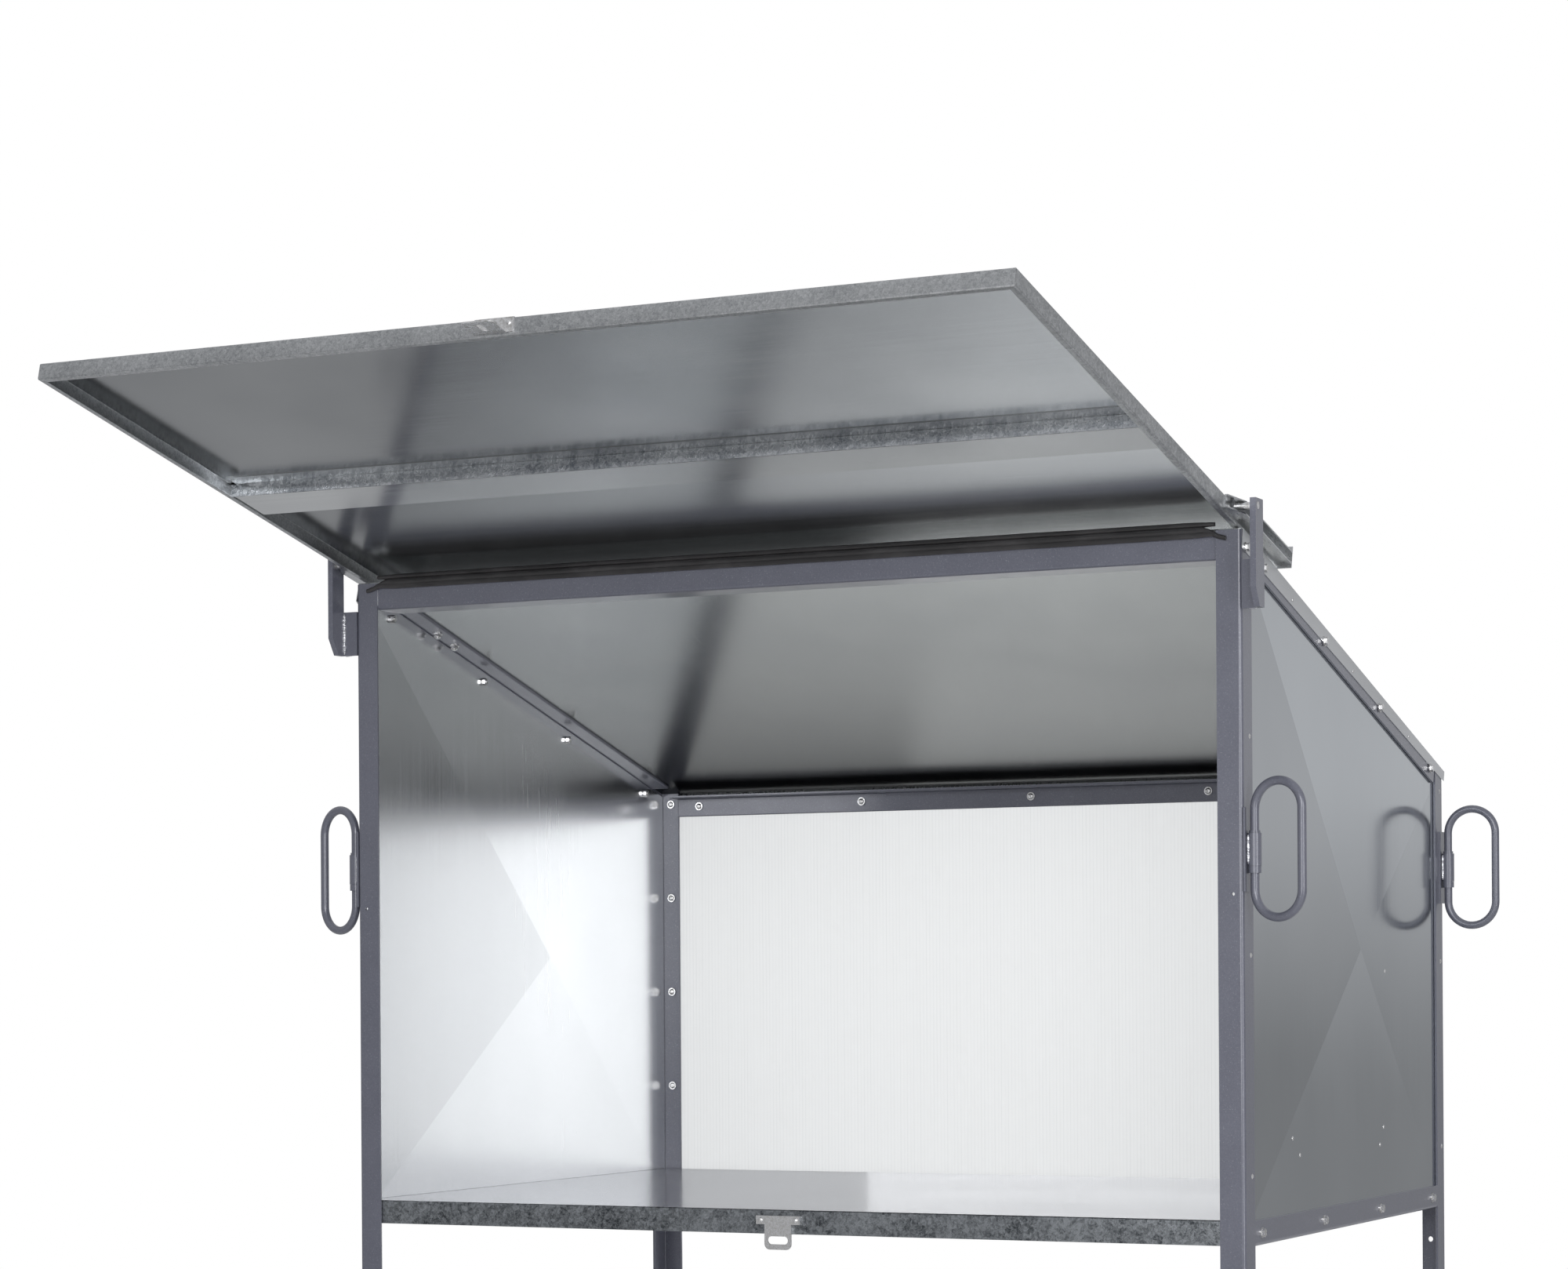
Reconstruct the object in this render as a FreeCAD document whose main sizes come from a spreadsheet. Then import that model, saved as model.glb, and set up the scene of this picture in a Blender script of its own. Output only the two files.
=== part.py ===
# Weatherproof growing cabinet: four angle-iron legs, a waist-high floor tray, cross-broken sheet
# sides, a twin-wall rear panel, a roof that falls to the back and a lid that swings up on two
# pins and slides back over the roof. All sizes in millimetres.
#
# Directions: +X to the right, +Y to the back, +Z up. Most pieces are drawn with y = 0 on the
# front faces of the front legs; "origin_back" then moves the whole model so that its origin
# lies on the ground under the middle of everything.
import FreeCAD, Part
import math
import os

import Sketcher

Vector = FreeCAD.Vector
Rotation = FreeCAD.Rotation
Placement = FreeCAD.Placement

# ---------------------------------------------------------------- driving sizes
DRIVING = {
    # overall frame
    "frame_width": 1360.0,
    "frame_depth": 955.0,
    "floor_level": 800.0,
    "post_top_gap": 4.5,
    "post_face": 35.0,
    "post_side": 40.0,
    "steel_wall": 4.0,
    "corner_round": 5.0,
    "toe_round": 1.5,
    # front beam and rails
    "beam_drop": 4.0,
    "beam_height": 35.0,
    "beam_depth": 60.0,
    "beam_setback": 2.0,
    "rail_leg": 35.0,
    "bottom_rail_drop": 2.0,
    "bottom_rail_leg": 34.0,
    "rear_rail_gap": 6.0,
    "rear_rail_leg": 34.0,
    # sheet metal
    "sheet_wall": 1.2,
    "floor_wall": 1.5,
    "floor_front_flange": 33.5,
    "floor_side_flange": 28.0,
    "panel_dish": 5.0,
    "rear_sheet": 6.0,
    "rear_sheet_inset": 6.0,
    # roof
    "roof_rise": 907.5,
    "roof_slope": 15.8,
    "roof_front": 8.0,
    "rear_overhang": 5.0,
    "roof_flange": 29.0,
    "roof_rear_flange": 8.0,
    # lid
    "lid_side_gap": 6.5,
    "lid_front_reach": 757.5,
    "lid_below_floor": 19.5,
    "lid_past_slide": 11.0,
    "lid_rim": 22.7,
    "lid_lip": 9.0,
    "lid_rear_rim": 10.0,
    "lid_over_roof": 2.3,
    "stiffener_back": 437.0,
    "stiffener_width": 69.0,
    "stiffener_flange": 25.0,
    # hinge and slide
    "pin_forward": 19.5,
    "rim_over_roof": 6.6,
    "pin_diameter": 10.0,
    "pin_fit": 0.06,
    "slide_height": 18.0,
    "slide_depth": 20.0,
    "slide_wall": 2.0,
    "slide_front": 28.5,
    "slide_taper": 30.0,
    "stop_height": 30.0,
    "stop_above": 7.0,
    "stop_wall": 2.0,
    "lug_thick": 8.0,
    "lug_width": 30.0,
    "lug_length": 140.0,
    "lug_top_margin": 9.5,
    "lug_chamfer": 24.0,
    "ear_gap": 22.0,
    "ear_height": 64.0,
    # seal on the beam
    "seal_lobe": 10.0,
    # hasp
    "hasp_tab_width": 46.0,
    "hasp_tab_reach": 36.0,
    "hasp_leg_width": 55.0,
    "hasp_wall": 2.0,
    "hasp_offset": 2.0,
    "hasp_plate_width": 41.0,
    "hasp_head_width": 67.0,
    "hasp_head_height": 12.0,
    "hasp_plate_height": 47.0,
    "hasp_plate_drop": 8.0,
    "hasp_round": 8.0,
    "hasp_slot_long": 31.0,
    "hasp_slot_high": 11.0,
    "tab_slot_long": 20.0,
    "tab_slot_wide": 8.0,
    # lifting loops
    "rod_diameter": 12.0,
    "loop_pitch": 73.5,
    "loop_height": 190.0,
    "loop_rise": 485.0,
    "sleeve_diameter": 18.0,
    "sleeve_length": 43.0,
    "sleeve_clearance": 0.3,
    "collar_height": 9.0,
    "collar_clearance": 0.4,
    "bead_height": 3.0,
    "backing_width": 24.0,
    "backing_height": 110.0,
    "backing_wall": 3.0,
    "sleeve_inset": 12.0,
    # fasteners
    "bolt_diameter": 6.0,
    "bolt_across_flats": 10.0,
    "bolt_head_height": 4.0,
    "nut_height": 5.0,
    "washer_diameter": 14.0,
    "washer_wall": 1.5,
    "screw_diameter": 5.0,
    "screw_head_diameter": 9.5,
    "screw_head_height": 2.6,
    "screw_washer_diameter": 15.0,
    "screw_nut_height": 3.0,
    "hole_clearance": 0.3,
    "roof_bolt_drop": 22.5,
    "roof_bolt_first": 88.0,
    "roof_bolt_last": 72.0,
    "post_bolt_back": 16.0,
    "rail_bolt_first": 66.0,
    "rail_bolt_last": 72.0,
    "top_bolt_first": 197.0,
    "top_bolt_pitch": 49.0,
    "top_bolt_inset": 20.0,
    "rear_screw_margin": 75.0,
    "rear_screw_gaps": 4.0,
    "post_screw_first": 141.0,
    "post_screw_over_rail": 4.5,
    "post_screw_inset": 21.0,
    "rivet_diameter": 7.0,
    "rivet_height": 1.6,
    "rear_rivet_drop": 30.7622,
    "leg_hole_diameter": 8.0,
    "leg_hole_drop": 87.0,
    "face_hole_diameter": 4.5,
    "face_hole_rise": 427.0,
    "face_hole_inset": 14.0,
    # floor stiffener
    "floor_rib_width": 70.0,
    "floor_rib_depth": 25.0,
    "floor_rib_flange": 20.0,
    # rest angles of the four loops, seen from above, turned from straight out
    "front_left_turn": -19.0,
    "front_right_turn": -16.0,
    "rear_left_turn": 0.0,
    "rear_right_turn": 0.0,
    # plain assembly clearance between neighbouring sheets
    "seat_gap": 0.3,
}

doc = FreeCAD.newDocument("growing_cabinet")
sheet = doc.addObject("Spreadsheet::Sheet", "Sizes")


def enter(sizes, first_row):
    """Write named numbers into the sheet and read them back from it."""
    for row, (name, number) in enumerate(sizes.items(), start=first_row):
        sheet.set("A%d" % row, name)
        sheet.set("B%d" % row, repr(round(number, 6)))
        sheet.setAlias("B%d" % row, name)
    doc.recompute()
    return {name: float(getattr(sheet, name)) for name in sizes}


S = enter(DRIVING, 1)

roof_tan = math.tan(math.radians(S["roof_slope"]))
half_width = S["frame_width"] / 2
roof_over_rear_post = S["roof_rise"] - S["frame_depth"] * roof_tan
lid_width = S["frame_width"] - 2 * S["lid_side_gap"]
lid_pitch = S["roof_slope"] - S["lid_over_roof"]
# the sheet's top stands over the pin by the slide's wall, a running gap and half the pin
lid_over_pin = S["slide_wall"] + S["seat_gap"] + S["pin_diameter"] / 2
# the pin stands high enough for the lid's rim to pass over the roof
pin_over_roof = S["rim_over_roof"] + S["lid_rim"] - lid_over_pin
pin_rise = S["roof_rise"] + pin_over_roof
# shut, the lid hangs from the far end of its slides to just below the floor
lid_travel = pin_rise + S["lid_below_floor"] - S["lid_front_reach"]
tab_under_pin = S["lid_rim"] - lid_over_pin - 3.0
rear_rail_rise = roof_over_rear_post - S["rear_rail_gap"] - S["rear_rail_leg"]
roof_rear = S["frame_depth"] + S["rear_sheet"] + S["rear_overhang"]
# the foremost point is the lower front edge of the hasp's tab, the rearmost the roof's edge
pitch = math.radians(lid_pitch)
foremost = (S["pin_forward"] + (S["lid_front_reach"] + S["hasp_tab_reach"]) * math.cos(pitch)
            + tab_under_pin * math.sin(pitch))
DERIVED = {
    "half_width": half_width,
    "post_rise": S["roof_rise"] - S["post_top_gap"],
    "beam_rise": S["roof_rise"] - S["post_top_gap"] - S["beam_drop"] - S["beam_height"],
    "rear_rail_rise": rear_rail_rise,
    "roof_rear": roof_rear,
    "lid_width": lid_width,
    "lid_pitch": lid_pitch,
    "lid_travel": lid_travel,
    "lid_rear_reach": lid_travel + S["lid_past_slide"],
    "lid_over_pin": lid_over_pin,
    "tab_under_pin": tab_under_pin,
    "pin_over_roof": pin_over_roof,
    "pin_rise": pin_rise,
    "origin_back": (roof_rear - foremost) / 2,
    "lug_inner": half_width + S["ear_gap"],
    "sleeve_out": half_width + S["backing_wall"] + S["sleeve_diameter"] / 2,
    "panel_out": half_width - S["steel_wall"],
    "roof_bolt_pitch": (S["frame_depth"] - S["roof_bolt_first"] - S["roof_bolt_last"]) / 3,
    "rail_bolt_pitch": (S["frame_depth"] - S["rail_bolt_first"] - S["rail_bolt_last"]) / 3,
    "rear_screw_pitch": 2 * (half_width - S["rear_screw_margin"]) / S["rear_screw_gaps"],
    "post_screw_pitch": (rear_rail_rise + S["rear_rail_leg"] / 2 + S["post_screw_over_rail"]
                         - S["post_screw_first"]) / 3,
}
S.update(enter(DERIVED, len(DRIVING) + 1))

NODES = []
counter = [0]


def expression(text):
    """Write a formula over the sheet's aliases as a FreeCAD expression."""
    words = []
    for word in str(text).replace("(", " ( ").replace(")", " ) ").split():
        words.append("Sizes." + word if word in S else word)
    return " ".join(words)


def value(text):
    """Work out the same formula here, for a starting value."""
    tokens = str(text).replace("(", " ( ").replace(")", " ) ").split()
    position = [0]

    def factor():
        token = tokens[position[0]]
        position[0] += 1
        if token == "-":
            return -factor()
        if token == "(":
            inside = total()
            position[0] += 1
            return inside
        return S[token] if token in S else float(token)

    def product():
        result = factor()
        while position[0] < len(tokens) and tokens[position[0]] in "*/":
            sign = tokens[position[0]]
            position[0] += 1
            other = factor()
            result = result * other if sign == "*" else result / other
        return result

    def total():
        result = product()
        while position[0] < len(tokens) and tokens[position[0]] in "+-":
            sign = tokens[position[0]]
            position[0] += 1
            other = product()
            result = result + other if sign == "+" else result - other
        return result

    return float(total())


def new(kind, name):
    counter[0] += 1
    return doc.addObject(kind, "%s_%d" % (name, counter[0]))


def place(obj, at=(0, 0, 0), rotation=None):
    """Bind an object's position to the sheet, with a fixed turn."""
    obj.Placement = Placement(Vector(*[value(part) for part in at]), rotation or Rotation())
    for axis, part in zip("xyz", at):
        obj.setExpression("Placement.Base." + axis, expression(part))
    return obj


def box(size, at=(0, 0, 0), rotation=None):
    obj = new("Part::Box", "box")
    for prop, part in zip(("Length", "Width", "Height"), size):
        obj.setExpression(prop, expression(part))
    return place(obj, at, rotation)


TURN = {
    "x": Rotation(Vector(0, 1, 0), 90),
    "y": Rotation(Vector(1, 0, 0), -90),
    "z": Rotation(),
}


def rod(diameter, length, at=(0, 0, 0), along="z", rotation=None):
    obj = new("Part::Cylinder", "rod")
    obj.setExpression("Radius", expression("( %s ) / 2" % diameter))
    obj.setExpression("Height", expression(length))
    return place(obj, at, rotation or TURN[along])


def fuse(pieces):
    obj = new("Part::MultiFuse", "fuse")
    obj.Shapes = pieces
    return obj


def cut(base, tools):
    tool = tools[0] if len(tools) == 1 else fuse(tools)
    obj = new("Part::Cut", "cut")
    obj.Base = base
    obj.Tool = tool
    return obj


def rounded(obj, radius, pick):
    """Round the edges of a finished solid that the pick function chooses."""
    doc.recompute()
    fillet = new("Part::Fillet", "round")
    fillet.Base = obj
    size = value(radius)
    fillet.Edges = [(n, size, size) for n, edge in enumerate(obj.Shape.Edges, 1) if pick(edge)]
    return fillet


def along(axis):
    """Pick straight edges that run along one axis."""
    def pick(edge):
        if edge.Curve.TypeId != "Part::GeomLine":
            return False
        direction = edge.tangentAt(edge.FirstParameter)
        return abs(abs(getattr(direction, axis)) - 1) < 1e-6
    return pick


def node(label, obj, at=None, rotation=None):
    """Register a finished sub-part and move it into the model's own frame."""
    base = at or ("0", "0", "0")
    place(obj, (base[0], "%s - origin_back" % base[1], base[2]), rotation)
    obj.Label = label
    NODES.append(obj)
    return obj


# turns that stand a drawn section (x, y) and its pad (z) along a bar's direction
BAR_X = Rotation(Vector(1, 1, 1), 120)
BAR_Y = Rotation(Vector(1, 1, 1), 240)


def section_bar(name, points, length, rounds=()):
    """Pad a closed outline of sheet formulas; rounds lists (corner number, radius alias)."""
    body = new("PartDesign::Body", name)
    plane = [f for f in body.Origin.OriginFeatures if f.Role == "XY_Plane"][0]
    sketch = body.newObject("Sketcher::SketchObject", name + "_outline")
    sketch.AttachmentSupport = [(plane, "")]
    sketch.MapMode = "FlatFace"
    corners = [Vector(value(px), value(py), 0) for px, py in points]
    count = len(points)
    for n in range(count):
        sketch.addGeometry(Part.LineSegment(corners[n], corners[(n + 1) % count]), False)
    for n in range(count):
        sketch.addConstraint(Sketcher.Constraint("Coincident", n, 2, (n + 1) % count, 1))
    for n, (px, py) in enumerate(points):
        for kind, part, line in (("DistanceX", px, -2), ("DistanceY", py, -1)):
            if str(part) == "0":
                sketch.addConstraint(Sketcher.Constraint("PointOnObject", n, 1, line))
                continue
            index = sketch.addConstraint(Sketcher.Constraint(kind, -1, 1, n, 1, value(part)))
            sketch.setExpression("Constraints[%d]" % index, expression(part))
    pad = body.newObject("PartDesign::Pad", name + "_pad")
    pad.Profile = sketch
    pad.setExpression("Length", expression(length))
    doc.recompute()
    last = pad
    for radius in sorted({alias for _, alias in rounds}):
        wanted = [corners[n] for n, alias in rounds if alias == radius]
        names = []
        for n, edge in enumerate(last.Shape.Edges, 1):
            middle = edge.CenterOfMass
            flat = Vector(middle.x, middle.y, 0)
            if along("z")(edge) and any(flat.distanceToPoint(corner) < 1e-4 for corner in wanted):
                names.append("Edge%d" % n)
        fillet = body.newObject("PartDesign::Fillet", name + "_" + radius)
        fillet.Base = (last, names)
        fillet.setExpression("Radius", expression(radius))
        doc.recompute()
        last = fillet
    body.Tip = last
    return body


def angle_points(leg_x, leg_y, wall, corner):
    """Outline of an angle section whose heel is at one of four corners of its box."""
    right, back = corner
    outline = [("0", "0"), (leg_x, "0"), (leg_x, wall), (wall, wall), (wall, leg_y), ("0", leg_y)]
    if right:
        outline = [("%s - %s" % (leg_x, px) if px != "0" else leg_x, py) for px, py in outline]
        outline = [("0" if px == "%s - %s" % (leg_x, leg_x) else px, py) for px, py in outline]
    if back:
        outline = [(px, "%s - %s" % (leg_y, py) if py != "0" else leg_y) for px, py in outline]
        outline = [(px, "0" if py == "%s - %s" % (leg_y, leg_y) else py) for px, py in outline]
    return outline


def angle_bar(name, leg_x, leg_y, corner, length):
    heel = (0, "corner_round")
    root = (3, "toe_round")
    toes = ((2, "toe_round"), (4, "toe_round"))
    return section_bar(name, angle_points(leg_x, leg_y, "steel_wall", corner), length,
                       (heel, root) + toes)


slope_turn = Rotation(Vector(1, 0, 0), -S["roof_slope"])
pitch_turn = Rotation(Vector(1, 0, 0), -S["lid_pitch"])


def roof_z(y):
    """Height of the roof's top face over the ground at a distance behind the front legs."""
    return S["floor_level"] + S["roof_rise"] - y * roof_tan


# ---------------------------------------------------------------- cutting tools
def at_point(obj, point, turn=None):
    """Stand an object at a point that the slopes have already been worked into."""
    obj.Placement = Placement(point, turn or Rotation())
    return obj


def loose_box(size, point, turn=None):
    """Box with sizes from the sheet and a worked-out place."""
    obj = new("Part::Box", "block")
    for prop, part in zip(("Length", "Width", "Height"), size):
        obj.setExpression(prop, expression(part))
    return at_point(obj, point, turn)


roof_normal = slope_turn.multVec(Vector(0, 0, 1))
roof_start = Vector(-half_width - 100, 0, roof_z(0)) - roof_normal * (S["sheet_wall"]
                                                                      + S["seat_gap"])
above_roof = loose_box(("frame_width + 200", "frame_depth + 400", "roof_rise"),
                       roof_start + slope_turn.multVec(Vector(0, -100, 0)), slope_turn)

side_bolt_ys = [S["post_bolt_back"]] + [S["roof_bolt_first"] + n * S["roof_bolt_pitch"]
                                        for n in range(4)]
side_bolt_places = [(y, roof_z(y) - S["roof_bolt_drop"]) for y in side_bolt_ys]
rail_bolt_zs = S["floor_level"] - S["bottom_rail_drop"] - S["bottom_rail_leg"] / 2
rail_bolt_places = [(S["rail_bolt_first"] + n * S["rail_bolt_pitch"], rail_bolt_zs)
                    for n in range(4)]
rear_rail_z = S["floor_level"] + S["rear_rail_rise"] + S["rear_rail_leg"] / 2
rear_screw_places = [(n * S["rear_screw_pitch"], rear_rail_z) for n in range(-2, 3)]
post_screw_places = [(side * (half_width - S["post_screw_inset"]),
                      S["floor_level"] + S["post_screw_first"] + n * S["post_screw_pitch"])
                     for side in (-1, 1) for n in range(4)]
top_bolt_places = [(side * (half_width - S["top_bolt_inset"]),
                    S["top_bolt_first"] + n * S["top_bolt_pitch"])
                   for side in (-1, 1) for n in range(2)]


def cross_holes(places, diameter):
    """Long drills across the whole width, one at each (y, z)."""
    return [rod("%s + 2 * hole_clearance" % diameter, "frame_width + 60",
                ("-1 * half_width - 30", "%.6f" % y, "%.6f" % z), "x") for y, z in places]


def rear_holes(places, diameter):
    """Drills from front to back through the rear frame, one at each (x, z)."""
    return [rod("%s + 2 * hole_clearance" % diameter, "60",
                ("%.6f" % x, "frame_depth - 30", "%.6f" % z), "y") for x, z in places]


side_drills = cross_holes(side_bolt_places, "bolt_diameter")
rail_drills = cross_holes(rail_bolt_places, "bolt_diameter")
rear_drills = rear_holes(rear_screw_places, "screw_diameter")
post_drills = rear_holes(post_screw_places, "screw_diameter")
leg_drills = rear_holes([(side * (half_width - S["post_screw_inset"] - 1.0),
                          S["floor_level"] - S["leg_hole_drop"]) for side in (-1, 1)],
                        "leg_hole_diameter - 2 * hole_clearance")
face_drills = [rod("face_hole_diameter", "steel_wall + 4",
                   ("%d * ( half_width - face_hole_inset )" % side, "-2",
                    "floor_level + face_hole_rise"), "y") for side in (-1, 1)]
top_drills = []
for x, y in top_bolt_places:
    drill = rod("bolt_diameter + 2 * hole_clearance", "40")
    drill.setExpression("Placement.Base.x", None)
    drill.setExpression("Placement.Base.y", None)
    drill.setExpression("Placement.Base.z", None)
    top_drills.append(at_point(drill, Vector(x, y, roof_z(y)) - roof_normal * 20, slope_turn))
doc.recompute()

# ---------------------------------------------------------------- posts
post_length = "floor_level + post_rise"
POSTS = (
    ("front_left_post", (False, False), ("-1 * half_width", "0", "0")),
    ("front_right_post", (True, False), ("half_width - post_face", "0", "0")),
    ("rear_left_post", (False, True), ("-1 * half_width", "frame_depth - post_side", "0")),
    ("rear_right_post", (True, True), ("half_width - post_face", "frame_depth - post_side", "0")),
)
for label, corner, at in POSTS:
    bar = angle_bar(label + "_bar", "post_face", "post_side", corner, post_length)
    place(bar, at)
    drills = [face_drills[corner[0]], side_drills[0]]
    if corner[1]:
        side = slice(4, 8) if corner[0] else slice(0, 4)
        drills = post_drills[side] + [leg_drills[corner[0]]]
    node(label, cut(bar, [above_roof] + drills))

# ---------------------------------------------------------------- front beam and rails
beam = section_bar("front_beam_bar", angle_points("beam_depth", "beam_height", "steel_wall",
                                                  (False, False)),
                   "frame_width - 2 * post_face",
                   ((0, "corner_round"), (3, "toe_round"), (2, "toe_round"), (4, "toe_round")))
node("front_beam", beam, ("-1 * half_width + post_face", "beam_setback",
                          "floor_level + beam_rise"), BAR_X)

rear_rail = section_bar("rear_top_rail_bar",
                        angle_points("rail_leg", "rear_rail_leg", "steel_wall", (True, True)),
                        "frame_width - 2 * post_face",
                        ((0, "corner_round"), (3, "toe_round"), (2, "toe_round"), (4, "toe_round")))
place(rear_rail, ("-1 * half_width + post_face", "frame_depth - rail_leg",
                  "floor_level + rear_rail_rise"), BAR_X)
node("rear_top_rail", cut(rear_rail, rear_drills))

rear_bottom = section_bar("rear_bottom_rail_bar",
                          angle_points("rail_leg", "bottom_rail_leg", "steel_wall", (True, False)),
                          "frame_width - 2 * post_face",
                          ((0, "corner_round"), (3, "toe_round"), (2, "toe_round"),
                           (4, "toe_round")))
node("rear_bottom_rail", rear_bottom,
     ("-1 * half_width + post_face", "frame_depth - rail_leg",
      "floor_level - bottom_rail_drop - bottom_rail_leg"), BAR_X)

# side rails: the section's x runs up, its y runs to the right
slope_cos = math.cos(math.radians(S["roof_slope"]))
slope_sin = math.sin(math.radians(S["roof_slope"]))
top_rail_start = S["post_side"] + S["rail_leg"] * slope_sin + S["seat_gap"]
top_rail_end = S["frame_depth"] - S["post_side"] - S["seat_gap"]
for label, right in (("left", False), ("right", True)):
    inner_x = "half_width - rail_leg" if right else "-1 * half_width"
    bottom = angle_bar(label + "_bottom_bar", "bottom_rail_leg", "rail_leg", (False, right),
                       "frame_depth - 2 * post_side")
    place(bottom, (inner_x, "post_side", "floor_level - bottom_rail_drop - bottom_rail_leg"),
          BAR_Y)
    node(label + "_bottom_rail", cut(bottom, rail_drills))

    top = angle_bar(label + "_top_bar", "rail_leg", "rail_leg", (True, right),
                    "%.6f" % ((top_rail_end - top_rail_start) / slope_cos))
    start = Vector(value(inner_x), top_rail_start, roof_z(top_rail_start))
    start += slope_turn.multVec(Vector(0, 0, -S["rail_leg"] - S["sheet_wall"]))
    top.Placement = Placement(start, slope_turn.multiply(BAR_Y))
    side = slice(2, 4) if right else slice(0, 2)
    node(label + "_top_rail", cut(top, side_drills[1:] + top_drills[side]))

# ---------------------------------------------------------------- side panels


def panel_outline(front, rear, low, top_drop):
    """Four corners of the side panel, or of its dished middle, in the side view."""
    return [Vector(0, front, low), Vector(0, rear, low),
            Vector(0, rear, roof_z(rear) - top_drop), Vector(0, front, roof_z(front) - top_drop)]


def dished_panel(side):
    """Thin sheet, flat where the frame covers it, folded along the diagonals of the rest."""
    wall = S["sheet_wall"]
    edge = S["steel_wall"] + S["toe_round"] + S["seat_gap"]
    rim = panel_outline(edge, S["frame_depth"] - edge,
                        S["floor_level"] - S["floor_side_flange"] - S["seat_gap"],
                        (wall + edge) / slope_cos)
    window = panel_outline(S["post_side"], S["frame_depth"] - S["post_side"],
                           S["floor_level"] + S["seat_gap"], (S["rail_leg"] + wall) / slope_cos)
    first = window[2] - window[0]
    second = window[3] - window[1]
    gap = window[1] - window[0]
    share = (gap.y * second.z - gap.z * second.y) / (first.y * second.z - first.z * second.y)
    middle = window[0] + first * share

    def skin(out):
        """Rim, window and tip of one face of the sheet."""
        return ([Vector(side * out, p.y, p.z) for p in rim],
                [Vector(side * out, p.y, p.z) for p in window],
                Vector(side * (out - S["panel_dish"]), middle.y, middle.z))

    faces = []
    outside, inside = skin(S["panel_out"]), skin(S["panel_out"] - wall)
    for n in range(4):
        m = (n + 1) % 4
        loops = [(outside[0][n], outside[0][m], inside[0][m], inside[0][n])]
        for corners, fold, tip in (outside, inside):
            loops.append((corners[n], corners[m], fold[m], fold[n]))
            loops.append((fold[n], fold[m], tip))
        faces += [Part.Face(Part.makePolygon(list(loop) + [loop[0]])) for loop in loops]
    solid = Part.Solid(Part.Shell(faces))
    if solid.Volume < 0:
        solid.reverse()
    return solid


for label, side in (("left", -1), ("right", 1)):
    blank = new("Part::Feature", label + "_panel_blank")
    blank.Shape = dished_panel(side)
    node(label + "_side_panel", cut(blank, side_drills + rail_drills))

# ---------------------------------------------------------------- rear panel
rear_blank = box(("frame_width - 2 * rear_sheet_inset", "rear_sheet",
                  "rear_rail_rise + rear_rail_leg + floor_side_flange"),
                 ("-1 * half_width + rear_sheet_inset", "frame_depth",
                  "floor_level - floor_side_flange"))
node("rear_panel", cut(rear_blank, rear_drills + post_drills))

# ---------------------------------------------------------------- floor tray
floor_half = "( panel_out - sheet_wall )"
floor_front = "steel_wall + seat_gap"
floor_depth = "( frame_depth - 2 * steel_wall - 2 * seat_gap )"
floor_block = box(("2 * %s" % floor_half, floor_depth, "floor_front_flange"),
                  ("-1 * %s" % floor_half, floor_front, "floor_level - floor_front_flange"))
floor_hollow = box(("2 * %s - 2 * floor_wall" % floor_half, "%s - 2 * floor_wall" % floor_depth,
                    "floor_front_flange - floor_wall"),
                   ("-1 * %s + floor_wall" % floor_half, "%s + floor_wall" % floor_front,
                    "floor_level - floor_front_flange"))
floor_trim = box(("2 * %s" % floor_half, floor_depth, "floor_front_flange - floor_side_flange"),
                 ("-1 * %s" % floor_half, "%s + floor_wall" % floor_front,
                  "floor_level - floor_front_flange"))
node("floor_tray", cut(floor_block, [floor_hollow, floor_trim] + rail_drills))

rib_points = [("0", "floor_rib_depth - sheet_wall"), ("floor_rib_flange - sheet_wall",
                                                     "floor_rib_depth - sheet_wall"),
              ("floor_rib_flange - sheet_wall", "0"),
              ("floor_rib_flange + floor_rib_width + sheet_wall", "0"),
              ("floor_rib_flange + floor_rib_width + sheet_wall", "floor_rib_depth - sheet_wall"),
              ("2 * floor_rib_flange + floor_rib_width", "floor_rib_depth - sheet_wall"),
              ("2 * floor_rib_flange + floor_rib_width", "floor_rib_depth"),
              ("floor_rib_flange + floor_rib_width", "floor_rib_depth"),
              ("floor_rib_flange + floor_rib_width", "sheet_wall"),
              ("floor_rib_flange", "sheet_wall"), ("floor_rib_flange", "floor_rib_depth"),
              ("0", "floor_rib_depth")]
rib = section_bar("floor_rib_bar", rib_points, "2 * %s - 2 * floor_wall - 2 * seat_gap" % floor_half)
node("floor_stiffener", rib,
     ("-1 * %s + floor_wall + seat_gap" % floor_half,
      "( frame_depth - floor_rib_width ) / 2 - floor_rib_flange",
      "floor_level - floor_wall - floor_rib_depth"), BAR_X)

# ---------------------------------------------------------------- roof sheet
# its outline from the side is a thin bent strip; the two side flanges hang below it
roof_span = S["frame_width"] + 2 * (S["sheet_wall"])


def roof_outline(drop_front, drop_rear, extra):
    """Side view of the roof between its front and rear edges, as thick as asked."""
    front, rear = S["roof_front"], S["roof_rear"]
    return [Vector(0, front, roof_z(front) - drop_front), Vector(0, rear, roof_z(rear) - drop_rear),
            Vector(0, rear, roof_z(rear) + extra), Vector(0, front, roof_z(front) + extra)]


def slab(points, x_start, x_length):
    face = Part.Face(Part.makePolygon(points + [points[0]]))
    solid = face.extrude(Vector(x_length, 0, 0))
    solid.translate(Vector(x_start, 0, 0))
    return solid


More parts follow.
